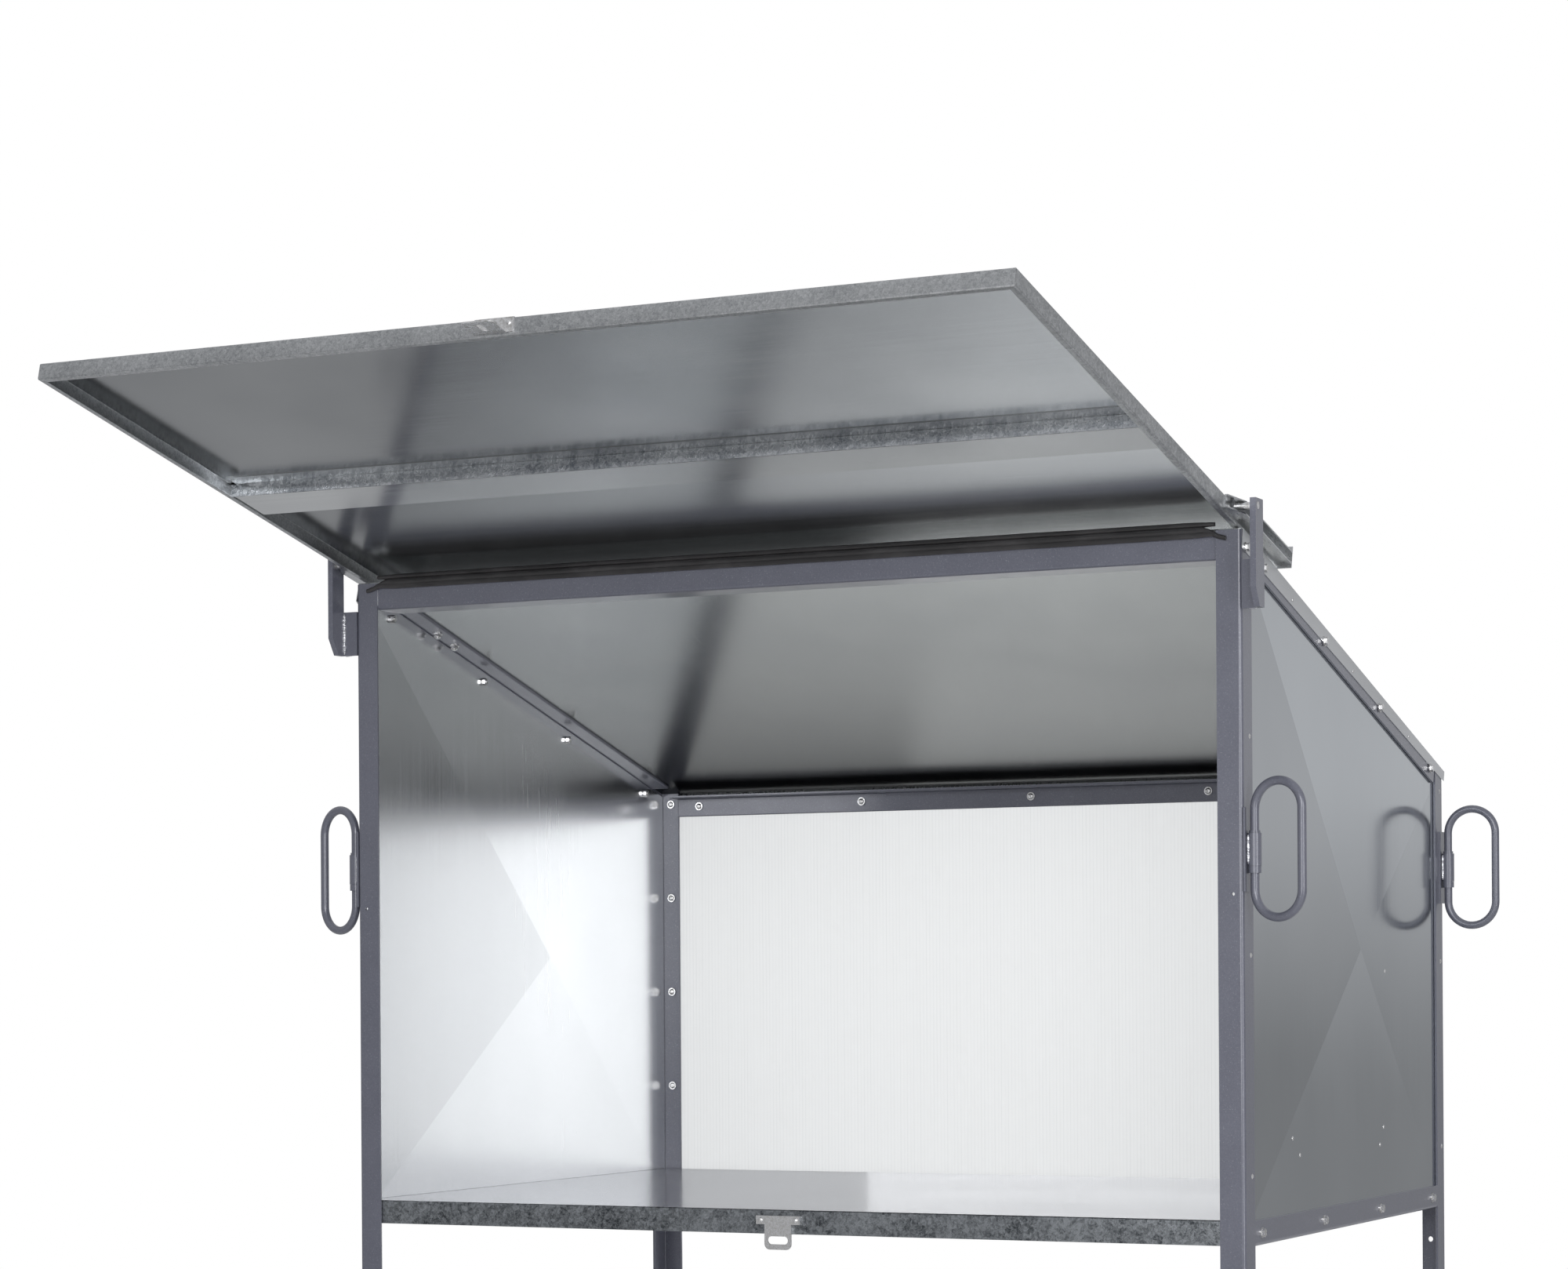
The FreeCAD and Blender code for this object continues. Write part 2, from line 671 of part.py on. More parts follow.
wall_drop = S["sheet_wall"] / slope_cos
roof_shape = slab(roof_outline(wall_drop, wall_drop, 0.0), -roof_span / 2, roof_span)
for side in (-1, 1):
    start = half_width if side > 0 else -roof_span / 2
    roof_shape = roof_shape.fuse(slab(roof_outline(S["roof_flange"], S["roof_flange"] * 0.62, 0.0),
                                      start, S["sheet_wall"]))
drip = Part.makeBox(roof_span, S["sheet_wall"], S["roof_rear_flange"],
                    Vector(-roof_span / 2, S["roof_rear"] - S["sheet_wall"],
                           roof_z(S["roof_rear"]) - S["roof_rear_flange"] - 1e-3))
roof_shape = roof_shape.fuse(drip).removeSplitter()
roof_blank = new("Part::Feature", "roof_blank")
roof_blank.Shape = roof_shape
node("roof_sheet", cut(roof_blank, side_drills + top_drills))

# ---------------------------------------------------------------- seal along the beam
seal_half = half_width - S["post_face"] - S["seat_gap"]
seal_foot = S["floor_level"] + S["beam_rise"] + S["beam_height"]
lobe = S["seal_lobe"]
front_lobe = Part.makeCylinder(lobe / 2, 2 * seal_half,
                               Vector(-seal_half, S["beam_setback"] - 1.0,
                                      seal_foot + lobe * 0.5 + S["seat_gap"]), Vector(1, 0, 0))
rear_lobe = Part.makeCylinder(lobe * 0.45, 2 * seal_half,
                              Vector(-seal_half, S["beam_setback"] + 2.0,
                                     seal_foot + lobe * 1.22), Vector(1, 0, 0))
lip = Part.makeBox(2 * seal_half, 2.4, lobe * 0.9,
                   Vector(-seal_half, S["beam_setback"] - 2.4 - S["seat_gap"],
                          seal_foot - lobe * 0.45))
seal = new("Part::Feature", "seal_shape")
seal.Shape = front_lobe.fuse(rear_lobe).fuse(lip).removeSplitter()
node("beam_seal", seal)

# ---------------------------------------------------------------- hinge lugs and ears
for label, side in (("left", -1), ("right", 1)):
    inner = "lug_inner" if side > 0 else "-1 * lug_inner - lug_thick"
    lug_bar = section_bar("lug_bar_" + label,
                          [("0", "lug_chamfer"), ("0", "lug_length"), ("lug_width", "lug_length"),
                           ("lug_width", "0"), ("lug_width / 2", "0")], "lug_thick")
    place(lug_bar, (inner, "-1 * lug_width",
                    "floor_level + pin_rise + lug_top_margin - lug_length"), BAR_X)
    hole = rod("pin_diameter + 2 * pin_fit", "lug_thick + 4",
               ("%s - 2" % inner, "-1 * pin_forward", "floor_level + pin_rise"), "x")
    node("hinge_lug_" + label, cut(lug_bar, [hole]))

    ear_x = "half_width" if side > 0 else "-1 * lug_inner - lug_thick"
    ear_plate = box(("ear_gap + lug_thick", "steel_wall", "ear_height"))
    node("hinge_ear_" + label, ear_plate,
         (ear_x, "0", "floor_level + pin_rise + lug_top_margin - lug_length"))

# pins: each turns in its lug and runs inside the lid's slide
pin_reach = "( lug_inner + lug_thick - lid_width / 2 - slide_wall - 3 )"
for label, side in (("left", -1), ("right", 1)):
    start = "lid_width / 2 + slide_wall + 3" if side > 0 else "-1 * lug_inner - lug_thick"
    pin = rod("pin_diameter", pin_reach)
    node("hinge_pin_" + label, pin, (start, "-1 * pin_forward", "floor_level + pin_rise"), TURN["x"])

# ---------------------------------------------------------------- lid
# Lid pieces are drawn around the pin axis: x across, y towards the lid's rear edge along the
# sheet, z square to the sheet; then tipped up by the pitch.


def lid_node(label, obj):
    return node(label, obj, ("0", "-1 * pin_forward", "floor_level + pin_rise"), pitch_turn)


lid_half = "( lid_width / 2 )"
lid_length = "( lid_front_reach + lid_rear_reach )"
lid_low = "( lid_over_pin - lid_rim )"
lid_block = box(("lid_width", lid_length, "lid_rim"),
                ("-1 * %s" % lid_half, "-1 * lid_front_reach", lid_low))
lid_cavity = box(("lid_width - 2 * sheet_wall", "%s - 2 * sheet_wall" % lid_length,
                  "lid_rim - 2 * sheet_wall"),
                 ("-1 * %s + sheet_wall" % lid_half, "-1 * lid_front_reach + sheet_wall",
                  "%s + sheet_wall" % lid_low))
lid_mouth = box(("lid_width - 2 * lid_lip", "%s - 2 * lid_lip" % lid_length, "sheet_wall + 2"),
                ("-1 * %s + lid_lip" % lid_half, "-1 * lid_front_reach + lid_lip",
                 "%s - 1" % lid_low))
lid_back = box(("lid_width - 2 * lid_lip", "lid_lip + 2", "lid_rim - lid_rear_rim + 1"),
               ("-1 * %s + lid_lip" % lid_half, "lid_rear_reach - lid_lip - 1",
                "%s - 1" % lid_low))
lid_node("lid_tray", cut(lid_block, [lid_cavity, lid_mouth, lid_back]))

stiff_depth = "( lid_rim - 2 * sheet_wall - seat_gap )"
stiff_points = [
    ("0", "%s - sheet_wall" % stiff_depth),
    ("stiffener_flange - sheet_wall", "%s - sheet_wall" % stiff_depth),
    ("stiffener_flange - sheet_wall", "0"),
    ("stiffener_flange + stiffener_width + sheet_wall", "0"),
    ("stiffener_flange + stiffener_width + sheet_wall", "%s - sheet_wall" % stiff_depth),
    ("2 * stiffener_flange + stiffener_width", "%s - sheet_wall" % stiff_depth),
    ("2 * stiffener_flange + stiffener_width", stiff_depth),
    ("stiffener_flange + stiffener_width", stiff_depth),
    ("stiffener_flange + stiffener_width", "sheet_wall"),
    ("stiffener_flange", "sheet_wall"),
    ("stiffener_flange", stiff_depth),
    ("0", stiff_depth),
]
stiff_bar = section_bar("lid_stiffener_bar", stiff_points,
                        "lid_width - 2 * sheet_wall - 2 * seat_gap")
place(stiff_bar, ("-1 * %s + sheet_wall + seat_gap" % lid_half,
                  "-1 * lid_front_reach + stiffener_back - stiffener_flange",
                  "%s + sheet_wall + seat_gap" % lid_low), BAR_X)
stiff_span = "( 2 * stiffener_flange + stiffener_width )"
reliefs = [box(("lid_lip + 1", "%s + 2" % stiff_span, "sheet_wall + 1"),
               (start, "-1 * lid_front_reach + stiffener_back - stiffener_flange - 1",
                "lid_over_pin - 2 * sheet_wall - 0.5"))
           for start in ("-1 * %s" % lid_half, "%s - lid_lip - 1" % lid_half)]
lid_node("lid_stiffener", cut(stiff_bar, reliefs))

slide_length = "( slide_front + lid_travel + pin_diameter / 2 )"
for label, side in (("left", -1), ("right", 1)):
    web = "lid_width / 2" if side > 0 else "-1 * lid_width / 2 - slide_wall"
    outer = "lid_width / 2" if side > 0 else "-1 * lid_width / 2 - slide_depth"
    channel = box(("slide_depth", slide_length, "slide_height"),
                  (outer, "-1 * slide_front", "lid_over_pin - slide_height"))
    channel_bore_x = "lid_width / 2 + slide_wall" if side > 0 else (
        "-1 * lid_width / 2 - slide_depth - 1")
    bore = box(("slide_depth - slide_wall + 1", "%s + 2" % slide_length,
                "slide_height - 2 * slide_wall"),
               (channel_bore_x, "-1 * slide_front - 1", "lid_over_pin - slide_height + slide_wall"))
    # the open front end is swept back so that it slips past the lug
    sweep_points = [("0", "0"), ("0", "slide_taper"),
                    ("slide_depth - 4", "0")]
    if side > 0:
        sweep_points = [("slide_depth - 4", "0"), ("slide_depth - 4", "slide_taper"), ("0", "0")]
    sweep = section_bar("slide_sweep_" + label, sweep_points, "slide_height + 2")
    sweep_x = "lid_width / 2 + 4" if side > 0 else "-1 * lid_width / 2 - slide_depth"
    place(sweep, (sweep_x, "-1 * slide_front", "lid_over_pin - slide_height - 1"))
    lid_node("lid_slide_" + label, cut(channel, [bore, sweep]))

    stop = box(("slide_depth", "stop_wall", "stop_height"))
    lid_node("slide_stop_" + label, fuse([
        place(stop, (outer, "%s - slide_front" % slide_length,
                     "lid_over_pin + stop_above - stop_height")),
        box(("slide_depth / 2", "stop_wall", "stop_height / 2"),
            (("lid_width / 2" if side > 0 else "-1 * lid_width / 2 - slide_depth / 2"),
             "%s - slide_front" % slide_length,
             "lid_over_pin - slide_height / 2 - stop_height / 4"))]))

# hasp tab: a leg flat on the front rim and a slotted tab folded forwards from its lower edge
tab_leg = box(("hasp_leg_width", "hasp_wall", "tab_under_pin + lid_over_pin - 0.5"),
              ("-1 * hasp_leg_width / 2", "-1 * lid_front_reach - hasp_wall",
               "-1 * tab_under_pin"))
tab_plate = box(("hasp_tab_width", "hasp_tab_reach", "hasp_wall"),
                ("-1 * hasp_leg_width / 2", "-1 * lid_front_reach - hasp_tab_reach",
                 "-1 * tab_under_pin"))
tab_whole = fuse([tab_leg, tab_plate])


def tab_front_corners(edge):
    """The two upright edges at the tab's free end."""
    return along("z")(edge) and abs(
        edge.CenterOfMass.y + S["lid_front_reach"] + S["hasp_tab_reach"]) < 1e-3


tab_round = rounded(tab_whole, "hasp_round", tab_front_corners)


def slot_tool(long, wide, depth, at, rotation):
    """A round-ended slot as two rods and a bar, drawn in its own plane."""
    straight = "( %s - %s )" % (long, wide)
    pieces = [
        box((straight, wide, depth), ("-1 * %s / 2" % straight, "-1 * %s / 2" % wide, "0")),
        rod(wide, depth, ("-1 * %s / 2" % straight, "0", "0")),
        rod(wide, depth, ("%s / 2" % straight, "0", "0")),
    ]
    return place(fuse(pieces), at, rotation)


tab_slot = slot_tool("tab_slot_long", "tab_slot_wide", "hasp_wall + 2",
                     ("( hasp_tab_width - hasp_leg_width ) / 2",
                      "-1 * lid_front_reach - hasp_tab_reach / 2 - hasp_wall / 2",
                      "-1 * tab_under_pin - 1"), Rotation(Vector(0, 0, 1), 90))
lid_node("lid_hasp_tab", cut(tab_round, [tab_slot]))

# ---------------------------------------------------------------- shelf hasp


def hasp_plate_shape(wall, front, name):
    """T-shaped plate standing in front of the floor's front flange."""
    head = box(("hasp_head_width", wall, "hasp_head_height"),
               ("hasp_offset - hasp_head_width / 2", front,
                "floor_level - hasp_plate_drop - hasp_head_height"))
    neck = box(("hasp_plate_width", wall, "hasp_plate_height"),
               ("hasp_offset - hasp_plate_width / 2", front,
                "floor_level - hasp_plate_drop - hasp_plate_height"))
    low = S["floor_level"] - S["hasp_plate_drop"] - S["hasp_plate_height"]

    def lower_corners(edge):
        return along("y")(edge) and abs(edge.CenterOfMass.z - low) < 1e-3

    return rounded(fuse([head, neck]), "hasp_round", lower_corners)


plate_front = "( -1 * hasp_wall )"
plate_slot = slot_tool("hasp_slot_long", "hasp_slot_high", "60",
                       ("hasp_offset", "40",
                        "floor_level - hasp_plate_drop - hasp_plate_height + 13"),
                       Rotation(Vector(1, 0, 0), 90))
node("shelf_hasp_plate", cut(hasp_plate_shape("hasp_wall", plate_front, "plate"), [plate_slot]))
packer = box(("hasp_plate_width", "steel_wall + seat_gap", "floor_front_flange - hasp_plate_drop"))
node("shelf_hasp_packer", fuse([
    place(packer, ("hasp_offset - hasp_plate_width / 2", "0", "floor_level - floor_front_flange")),
    box(("hasp_head_width", "steel_wall + seat_gap", "hasp_head_height"),
        ("hasp_offset - hasp_head_width / 2", "0",
         "floor_level - hasp_plate_drop - hasp_head_height"))]))

# ---------------------------------------------------------------- lifting loops
LOOPS = (
    ("front_left", -1, "sleeve_inset", S["front_left_turn"], 180),
    ("front_right", 1, "sleeve_inset", S["front_right_turn"], 0),
    ("rear_left", -1, "frame_depth - sleeve_inset", S["rear_left_turn"], 180),
    ("rear_right", 1, "frame_depth - sleeve_inset", S["rear_right_turn"], 0),
)
leg_length = "( loop_height - loop_pitch - rod_diameter )"


def half_ring(z, flip):
    ring = new("Part::Torus", "half_ring")
    ring.setExpression("Radius1", expression("loop_pitch / 2"))
    ring.setExpression("Radius2", expression("rod_diameter / 2"))
    ring.Angle3 = 180
    turn = Rotation(Vector(1, 0, 0), 90 if flip > 0 else -90)
    return place(ring, ("loop_pitch / 2", "0", z), turn)


for label, side, back, turn, facing in LOOPS:
    spot = ("%d * sleeve_out" % side, back, "floor_level + loop_rise")
    swing = Rotation(Vector(0, 0, 1), facing + turn)
    bead = rod("rod_diameter + 3", "bead_height", ("0", "0", "sleeve_length / 2 + seat_gap"))
    loop = fuse([
        rod("rod_diameter", leg_length, ("0", "0", "-1 * %s / 2" % leg_length)),
        rod("rod_diameter", leg_length, ("loop_pitch", "0", "-1 * %s / 2" % leg_length)),
        half_ring("%s / 2" % leg_length, 1),
        half_ring("-1 * %s / 2" % leg_length, -1),
        bead,
    ])
    node(label + "_loop", loop, spot, swing)
    collar = cut(rod("sleeve_diameter - 2 * collar_clearance", "collar_height",
                     ("0", "0", "-1 * sleeve_length / 2 - seat_gap - collar_height")),
                 [rod("rod_diameter + 0.1", "collar_height + 2",
                      ("0", "0", "-1 * sleeve_length / 2 - seat_gap - collar_height - 1"))])
    node(label + "_loop_collar", collar, spot, swing)
    sleeve = cut(rod("sleeve_diameter", "sleeve_length", ("0", "0", "-1 * sleeve_length / 2")),
                 [rod("rod_diameter + 2 * sleeve_clearance", "sleeve_length + 2",
                      ("0", "0", "-1 * sleeve_length / 2 - 1"))])
    node(label + "_loop_sleeve", sleeve, spot)
    plate_x = "half_width" if side > 0 else "-1 * half_width - backing_wall"
    node(label + "_loop_plate", box(("backing_wall", "backing_width", "backing_height")),
         (plate_x, "%s - backing_width / 2" % back,
          "floor_level + loop_rise - backing_height / 2"))

# ---------------------------------------------------------------- fasteners


def hexagon(across, height):
    """Hexagonal prism on the z axis."""
    radius = across / math.sqrt(3)
    corners = [Vector(radius * math.cos(math.radians(60 * n)),
                      radius * math.sin(math.radians(60 * n)), 0) for n in range(6)]
    return Part.Face(Part.makePolygon(corners + [corners[0]])).extrude(Vector(0, 0, height))


def disc(diameter, height, z=0.0):
    return Part.makeCylinder(diameter / 2, height, Vector(0, 0, z))


def hex_bolt(shank):
    """Washer and hexagon head above z = 0, shank below it."""
    head = hexagon(S["bolt_across_flats"], S["bolt_head_height"])
    head.translate(Vector(0, 0, S["washer_wall"]))
    whole = disc(S["washer_diameter"], S["washer_wall"]).fuse(head)
    return whole.fuse(disc(S["bolt_diameter"], shank, -shank)).removeSplitter()


def hex_nut(washer):
    """Washer and nut above z = 0 with a clear bore."""
    nut = hexagon(S["bolt_across_flats"], S["nut_height"])
    nut.translate(Vector(0, 0, S["washer_wall"]))
    whole = disc(washer, S["washer_wall"]).fuse(nut)
    bore = disc(S["bolt_diameter"] + 0.1, 20.0, -5.0)
    return whole.cut(bore).removeSplitter()


def pan_screw(shank):
    """Washer and domed head above z = 0, shank below it."""
    dome = Part.makeCylinder(S["screw_head_diameter"] / 2, S["screw_head_height"],
                             Vector(0, 0, S["washer_wall"]))
    top_edges = [edge for edge in dome.Edges
                 if edge.BoundBox.ZMin > S["washer_wall"] + S["screw_head_height"] - 1e-6]
    dome = dome.makeFillet(S["screw_head_height"] * 0.6, top_edges)
    whole = disc(S["screw_washer_diameter"], S["washer_wall"]).fuse(dome)
    return whole.fuse(disc(S["screw_diameter"], shank, -shank)).removeSplitter()


def rivet():
    """Low domed head on z = 0."""
    radius, height = S["rivet_diameter"] / 2, S["rivet_height"]
    ball = (radius ** 2 + height ** 2) / (2 * height)
    sphere = Part.makeSphere(ball, Vector(0, 0, height - ball))
    return sphere.common(Part.makeBox(4 * ball, 4 * ball, height + 1,
                                      Vector(-2 * ball, -2 * ball, 0)))


def group(label, shape, places, register=node):
    """One node of separate copies; places lists (point, direction the head faces)."""
    copies = []
    for point, direction in places:
        turn = Rotation(Vector(0, 0, 1), Vector(*direction))
        copy = shape.copy()
        copy.Placement = Placement(Vector(*point), turn)
        copies.append(copy)
    obj = new("Part::Feature", label + "_shape")
    obj.Shape = Part.makeCompound(copies)
    return register(label, obj)


roof_face_x = half_width + S["sheet_wall"]
roof_stack = S["sheet_wall"] + S["steel_wall"] + S["sheet_wall"]
bolt_length = roof_stack + S["washer_wall"] + S["nut_height"] + 1.5
group("roof_side_bolts", hex_bolt(bolt_length),
      [((side * roof_face_x, y, z), (side, 0, 0)) for side in (-1, 1) for y, z in side_bolt_places])


panel_inner_x = S["panel_out"] - S["sheet_wall"]
small_washer = S["bolt_across_flats"] + 1.5
group("roof_side_nuts", hex_nut(small_washer),
      [((side * panel_inner_x, y, z), (-side, 0, 0))
       for side in (-1, 1) for y, z in side_bolt_places])
group("bottom_rail_bolts", hex_bolt(roof_stack + S["floor_wall"] + S["washer_wall"]
                                    + S["nut_height"]),
      [((side * half_width, y, z), (side, 0, 0)) for side in (-1, 1) for y, z in rail_bolt_places])
floor_inner_x = S["panel_out"] - S["sheet_wall"] - S["floor_wall"]
group("bottom_rail_nuts", hex_nut(small_washer),
      [((side * floor_inner_x, y, z), (-side, 0, 0))
       for side in (-1, 1) for y, z in rail_bolt_places])
top_stack = S["sheet_wall"] + S["steel_wall"]
group("roof_top_bolts", hex_bolt(top_stack + S["washer_wall"] + S["nut_height"] + 2),
      [((x, y, roof_z(y)), tuple(roof_normal)) for x, y in top_bolt_places])
group("roof_top_nuts", hex_nut(S["washer_diameter"]),
      [(tuple(Vector(x, y, roof_z(y)) - roof_normal * top_stack), tuple(roof_normal * -1))
       for x, y in top_bolt_places])
group("rear_panel_screws",
      pan_screw(S["steel_wall"] + S["rear_sheet"] + S["washer_wall"] + S["screw_nut_height"]),
      [((x, S["frame_depth"] - S["steel_wall"], z), (0, -1, 0))
       for x, z in rear_screw_places + post_screw_places])
screw_nut = hexagon(S["screw_diameter"] * 1.6, S["screw_nut_height"])
screw_nut.translate(Vector(0, 0, S["washer_wall"]))
screw_nut = disc(S["screw_washer_diameter"], S["washer_wall"]).fuse(screw_nut)
screw_nut = screw_nut.cut(disc(S["screw_diameter"] + 0.1, 20.0, -5.0))
group("rear_panel_nuts", screw_nut,
      [((x, S["frame_depth"] + S["rear_sheet"], z), (0, 1, 0))
       for x, z in rear_screw_places + post_screw_places])

flange_rivet_rises = (57.0, 347.0, 634.0)
rear_rivet_rises = (57.0, 341.0, roof_over_rear_post - S["post_top_gap"] - S["rear_rivet_drop"])
rivet_places = []
for side in (-1, 1):
    for rise in flange_rivet_rises:
        rivet_places.append(((side * half_width, 29.0, S["floor_level"] + rise), (side, 0, 0)))
    for rise in rear_rivet_rises:
        rivet_places.append(((side * half_width, S["frame_depth"] - 17.0,
                              S["floor_level"] + rise), (side, 0, 0)))
rivet_places = [spot for spot in rivet_places
                if abs(spot[0][2] - S["floor_level"] - S["loop_rise"])
                > S["backing_height"] / 2 + S["rivet_diameter"]]
group("frame_rivets", rivet(), rivet_places)

hasp_screw_z = S["floor_level"] - S["hasp_plate_drop"] - S["hasp_head_height"] / 2
hasp_screw_x = (S["hasp_plate_width"] + S["hasp_head_width"]) / 4
group("hasp_rivets", rivet(),
      [((S["hasp_offset"] + side * hasp_screw_x, -S["hasp_wall"], hasp_screw_z), (0, -1, 0))
       for side in (-1, 1)])

tab_rivet = (S["hasp_leg_width"] / 2 - 7.0, -S["lid_front_reach"] - S["hasp_wall"],
             S["lid_over_pin"] - 7.5)
group("lid_hasp_rivet", rivet(), [(tab_rivet, (0, -1, 0))], lid_node)

# ---------------------------------------------------------------- recompute, check and write
doc.recompute()
faults = []
for obj in doc.Objects:
    if "Invalid" in obj.State or "Error" in obj.State:
        faults.append("%s (%s): %s" % (obj.Label, obj.TypeId, obj.State))
for obj in NODES:
    if obj.Shape.isNull() or not obj.Shape.isValid():
        faults.append("%s: shape null or not valid" % obj.Label)
if faults:
    raise SystemExit("\n".join(faults))

os.makedirs("parts", exist_ok=True)
for obj in NODES:
    obj.Shape.exportStep(os.path.join("parts", obj.Label + ".step"))
    print("%-28s %2d solid(s) %12.1f mm3" % (obj.Label, len(obj.Shape.Solids), obj.Shape.Volume))
print(len(NODES), "nodes")
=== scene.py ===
"""A raised growing cabinet of painted angle iron and galvanised sheet, with its lid open.

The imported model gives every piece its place. This script dresses those pieces with procedural
finishes, adds the finer pieces (ribbed back, seal, welds, screw recesses) and sets up a plain
pale studio with the camera.
"""

import logging
import math
from dataclasses import dataclass, field
from enum import Enum
from typing import Dict, List, Optional, Sequence, Tuple

import bmesh
import bpy
from mathutils import Matrix, Vector, noise

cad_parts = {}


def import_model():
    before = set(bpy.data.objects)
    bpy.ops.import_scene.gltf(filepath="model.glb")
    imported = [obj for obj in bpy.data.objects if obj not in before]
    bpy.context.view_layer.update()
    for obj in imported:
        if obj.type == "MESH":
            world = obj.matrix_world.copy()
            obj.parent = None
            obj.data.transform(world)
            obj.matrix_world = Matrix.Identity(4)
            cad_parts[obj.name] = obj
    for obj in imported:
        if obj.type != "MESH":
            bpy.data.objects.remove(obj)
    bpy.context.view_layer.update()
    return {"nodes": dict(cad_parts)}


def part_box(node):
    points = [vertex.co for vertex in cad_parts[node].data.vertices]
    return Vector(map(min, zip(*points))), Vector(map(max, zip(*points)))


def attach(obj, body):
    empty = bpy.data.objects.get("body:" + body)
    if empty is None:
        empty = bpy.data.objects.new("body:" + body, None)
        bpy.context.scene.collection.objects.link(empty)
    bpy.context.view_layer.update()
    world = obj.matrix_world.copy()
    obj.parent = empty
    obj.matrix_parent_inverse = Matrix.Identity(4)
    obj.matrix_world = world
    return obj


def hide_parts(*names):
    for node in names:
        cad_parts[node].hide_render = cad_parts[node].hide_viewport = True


LOG = logging.getLogger("growing_cabinet")
Colour = Tuple[float, float, float]
Point = Tuple[float, float, float]
MM = 0.001


# ------------------------------------------------------------------ shader building


class Nodes:
    """A small helper that adds and links shader nodes in one material."""

    def __init__(self, name: str) -> None:
        """Start an empty node material.

        Args:
            name: the material's name.
        """
        self.material = bpy.data.materials.new(name)
        self.material.use_nodes = True
        self.tree = self.material.node_tree
        self.tree.nodes.clear()
        self.output = self.tree.nodes.new("ShaderNodeOutputMaterial")

    def add(self, kind: str, **inputs: object) -> bpy.types.Node:
        """Add a node and fill in its sockets.

        Args:
            kind: the node's type, without the ShaderNode prefix.
            **inputs: socket names (spaces as underscores) with numbers or sockets to link.

        Returns:
            The new node.
        """
        node = self.tree.nodes.new("ShaderNode" + kind)
        for name, value in inputs.items():
            self.set(node, name.replace("_", " "), value)
        return node

    def set(self, node: bpy.types.Node, name: str, value: object) -> None:
        """Give one socket a number, a colour or a link.

        Args:
            node: the node to change.
            name: the socket's name.
            value: a number, a tuple or an output socket.
        """
        socket = node.inputs[name]
        if isinstance(value, bpy.types.NodeSocket):
            self.tree.links.new(value, socket)
        elif isinstance(value, tuple) and len(value) == 3 and socket.type == "RGBA":
            socket.default_value = (*value, 1.0)
        else:
            socket.default_value = value

    def place(self, scale: Point = (1.0, 1.0, 1.0), turn: Point = (0.0, 0.0, 0.0)
              ) -> bpy.types.NodeSocket:
        """Object coordinates, stretched and turned.

        Args:
            scale: stretch along each axis.
            turn: rotation in degrees about each axis.

        Returns:
            The vector socket.
        """
        coordinates = self.add("TexCoord")
        mapping = self.add("Mapping", Vector=coordinates.outputs["Object"])
        mapping.inputs["Scale"].default_value = scale
        mapping.inputs["Rotation"].default_value = tuple(math.radians(a) for a in turn)
        return mapping.outputs["Vector"]

    def cloud(self, size: float, detail: float = 3.0, rough: float = 0.5,
              scale: Point = (1.0, 1.0, 1.0), turn: Point = (0.0, 0.0, 0.0),
              twist: float = 0.0) -> bpy.types.NodeSocket:
        """Smooth noise.

        Args:
            size: width of a typical patch in metres.
            detail: octaves.
            rough: how much the finer octaves count.
            scale: stretch of the coordinates.
            turn: rotation of the coordinates in degrees.
            twist: distortion.

        Returns:
            A value socket around 0.5.
        """
        node = self.add("TexNoise", Vector=self.place(scale, turn), Scale=1.0 / size,
                        Detail=detail, Roughness=rough, Distortion=twist)
        return node.outputs["Fac"]

    def ramp(self, value: bpy.types.NodeSocket, low: float, high: float,
             out_low: float = 0.0, out_high: float = 1.0) -> bpy.types.NodeSocket:
        """Map a range of a value onto another range, clamped.

        Args:
            value: the value socket.
            low: start of the range.
            high: end of the range.
            out_low: result at the start.
            out_high: result at the end.

        Returns:
            The mapped value.
        """
        node = self.add("MapRange", Value=value)
        node.clamp = True
        node.inputs["From Min"].default_value = low
        node.inputs["From Max"].default_value = high
        node.inputs["To Min"].default_value = out_low
        node.inputs["To Max"].default_value = out_high
        return node.outputs["Result"]

    def blend(self, share: bpy.types.NodeSocket, first: object, second: object
              ) -> bpy.types.NodeSocket:
        """Mix two colours.

        Args:
            share: how much of the second shows.
            first: colour or socket.
            second: colour or socket.

        Returns:
            The mixed colour.
        """
        node = self.tree.nodes.new("ShaderNodeMix")
        node.data_type = "RGBA"
        self.tree.links.new(share, node.inputs[0])
        for index, value in ((6, first), (7, second)):
            if isinstance(value, bpy.types.NodeSocket):
                self.tree.links.new(value, node.inputs[index])
            else:
                node.inputs[index].default_value = (*value, 1.0)
        return node.outputs[2]

    def math(self, operation: str, first: object, second: object = 0.0) -> bpy.types.NodeSocket:
        """One arithmetic step.

        Args:
            operation: Blender's name of the operation.
            first: number or socket.
            second: number or socket.

        Returns:
            The result.
        """
        node = self.add("Math")
        node.operation = operation
        for index, value in enumerate((first, second)):
            if isinstance(value, bpy.types.NodeSocket):
                self.tree.links.new(value, node.inputs[index])
            else:
                node.inputs[index].default_value = value
        return node.outputs[0]

    def bump(self, height: bpy.types.NodeSocket, depth: float,
             under: Optional[bpy.types.NodeSocket] = None) -> bpy.types.NodeSocket:
        """Surface relief.

        Args:
            height: value from 0 to 1.
            depth: real depth in metres.
            under: a normal that this relief lies on.

        Returns:
            The normal socket.
        """
        node = self.add("Bump", Height=height, Distance=depth)
        node.inputs["Strength"].default_value = 1.0
        if under is not None:
            self.tree.links.new(under, node.inputs["Normal"])
        return node.outputs["Normal"]

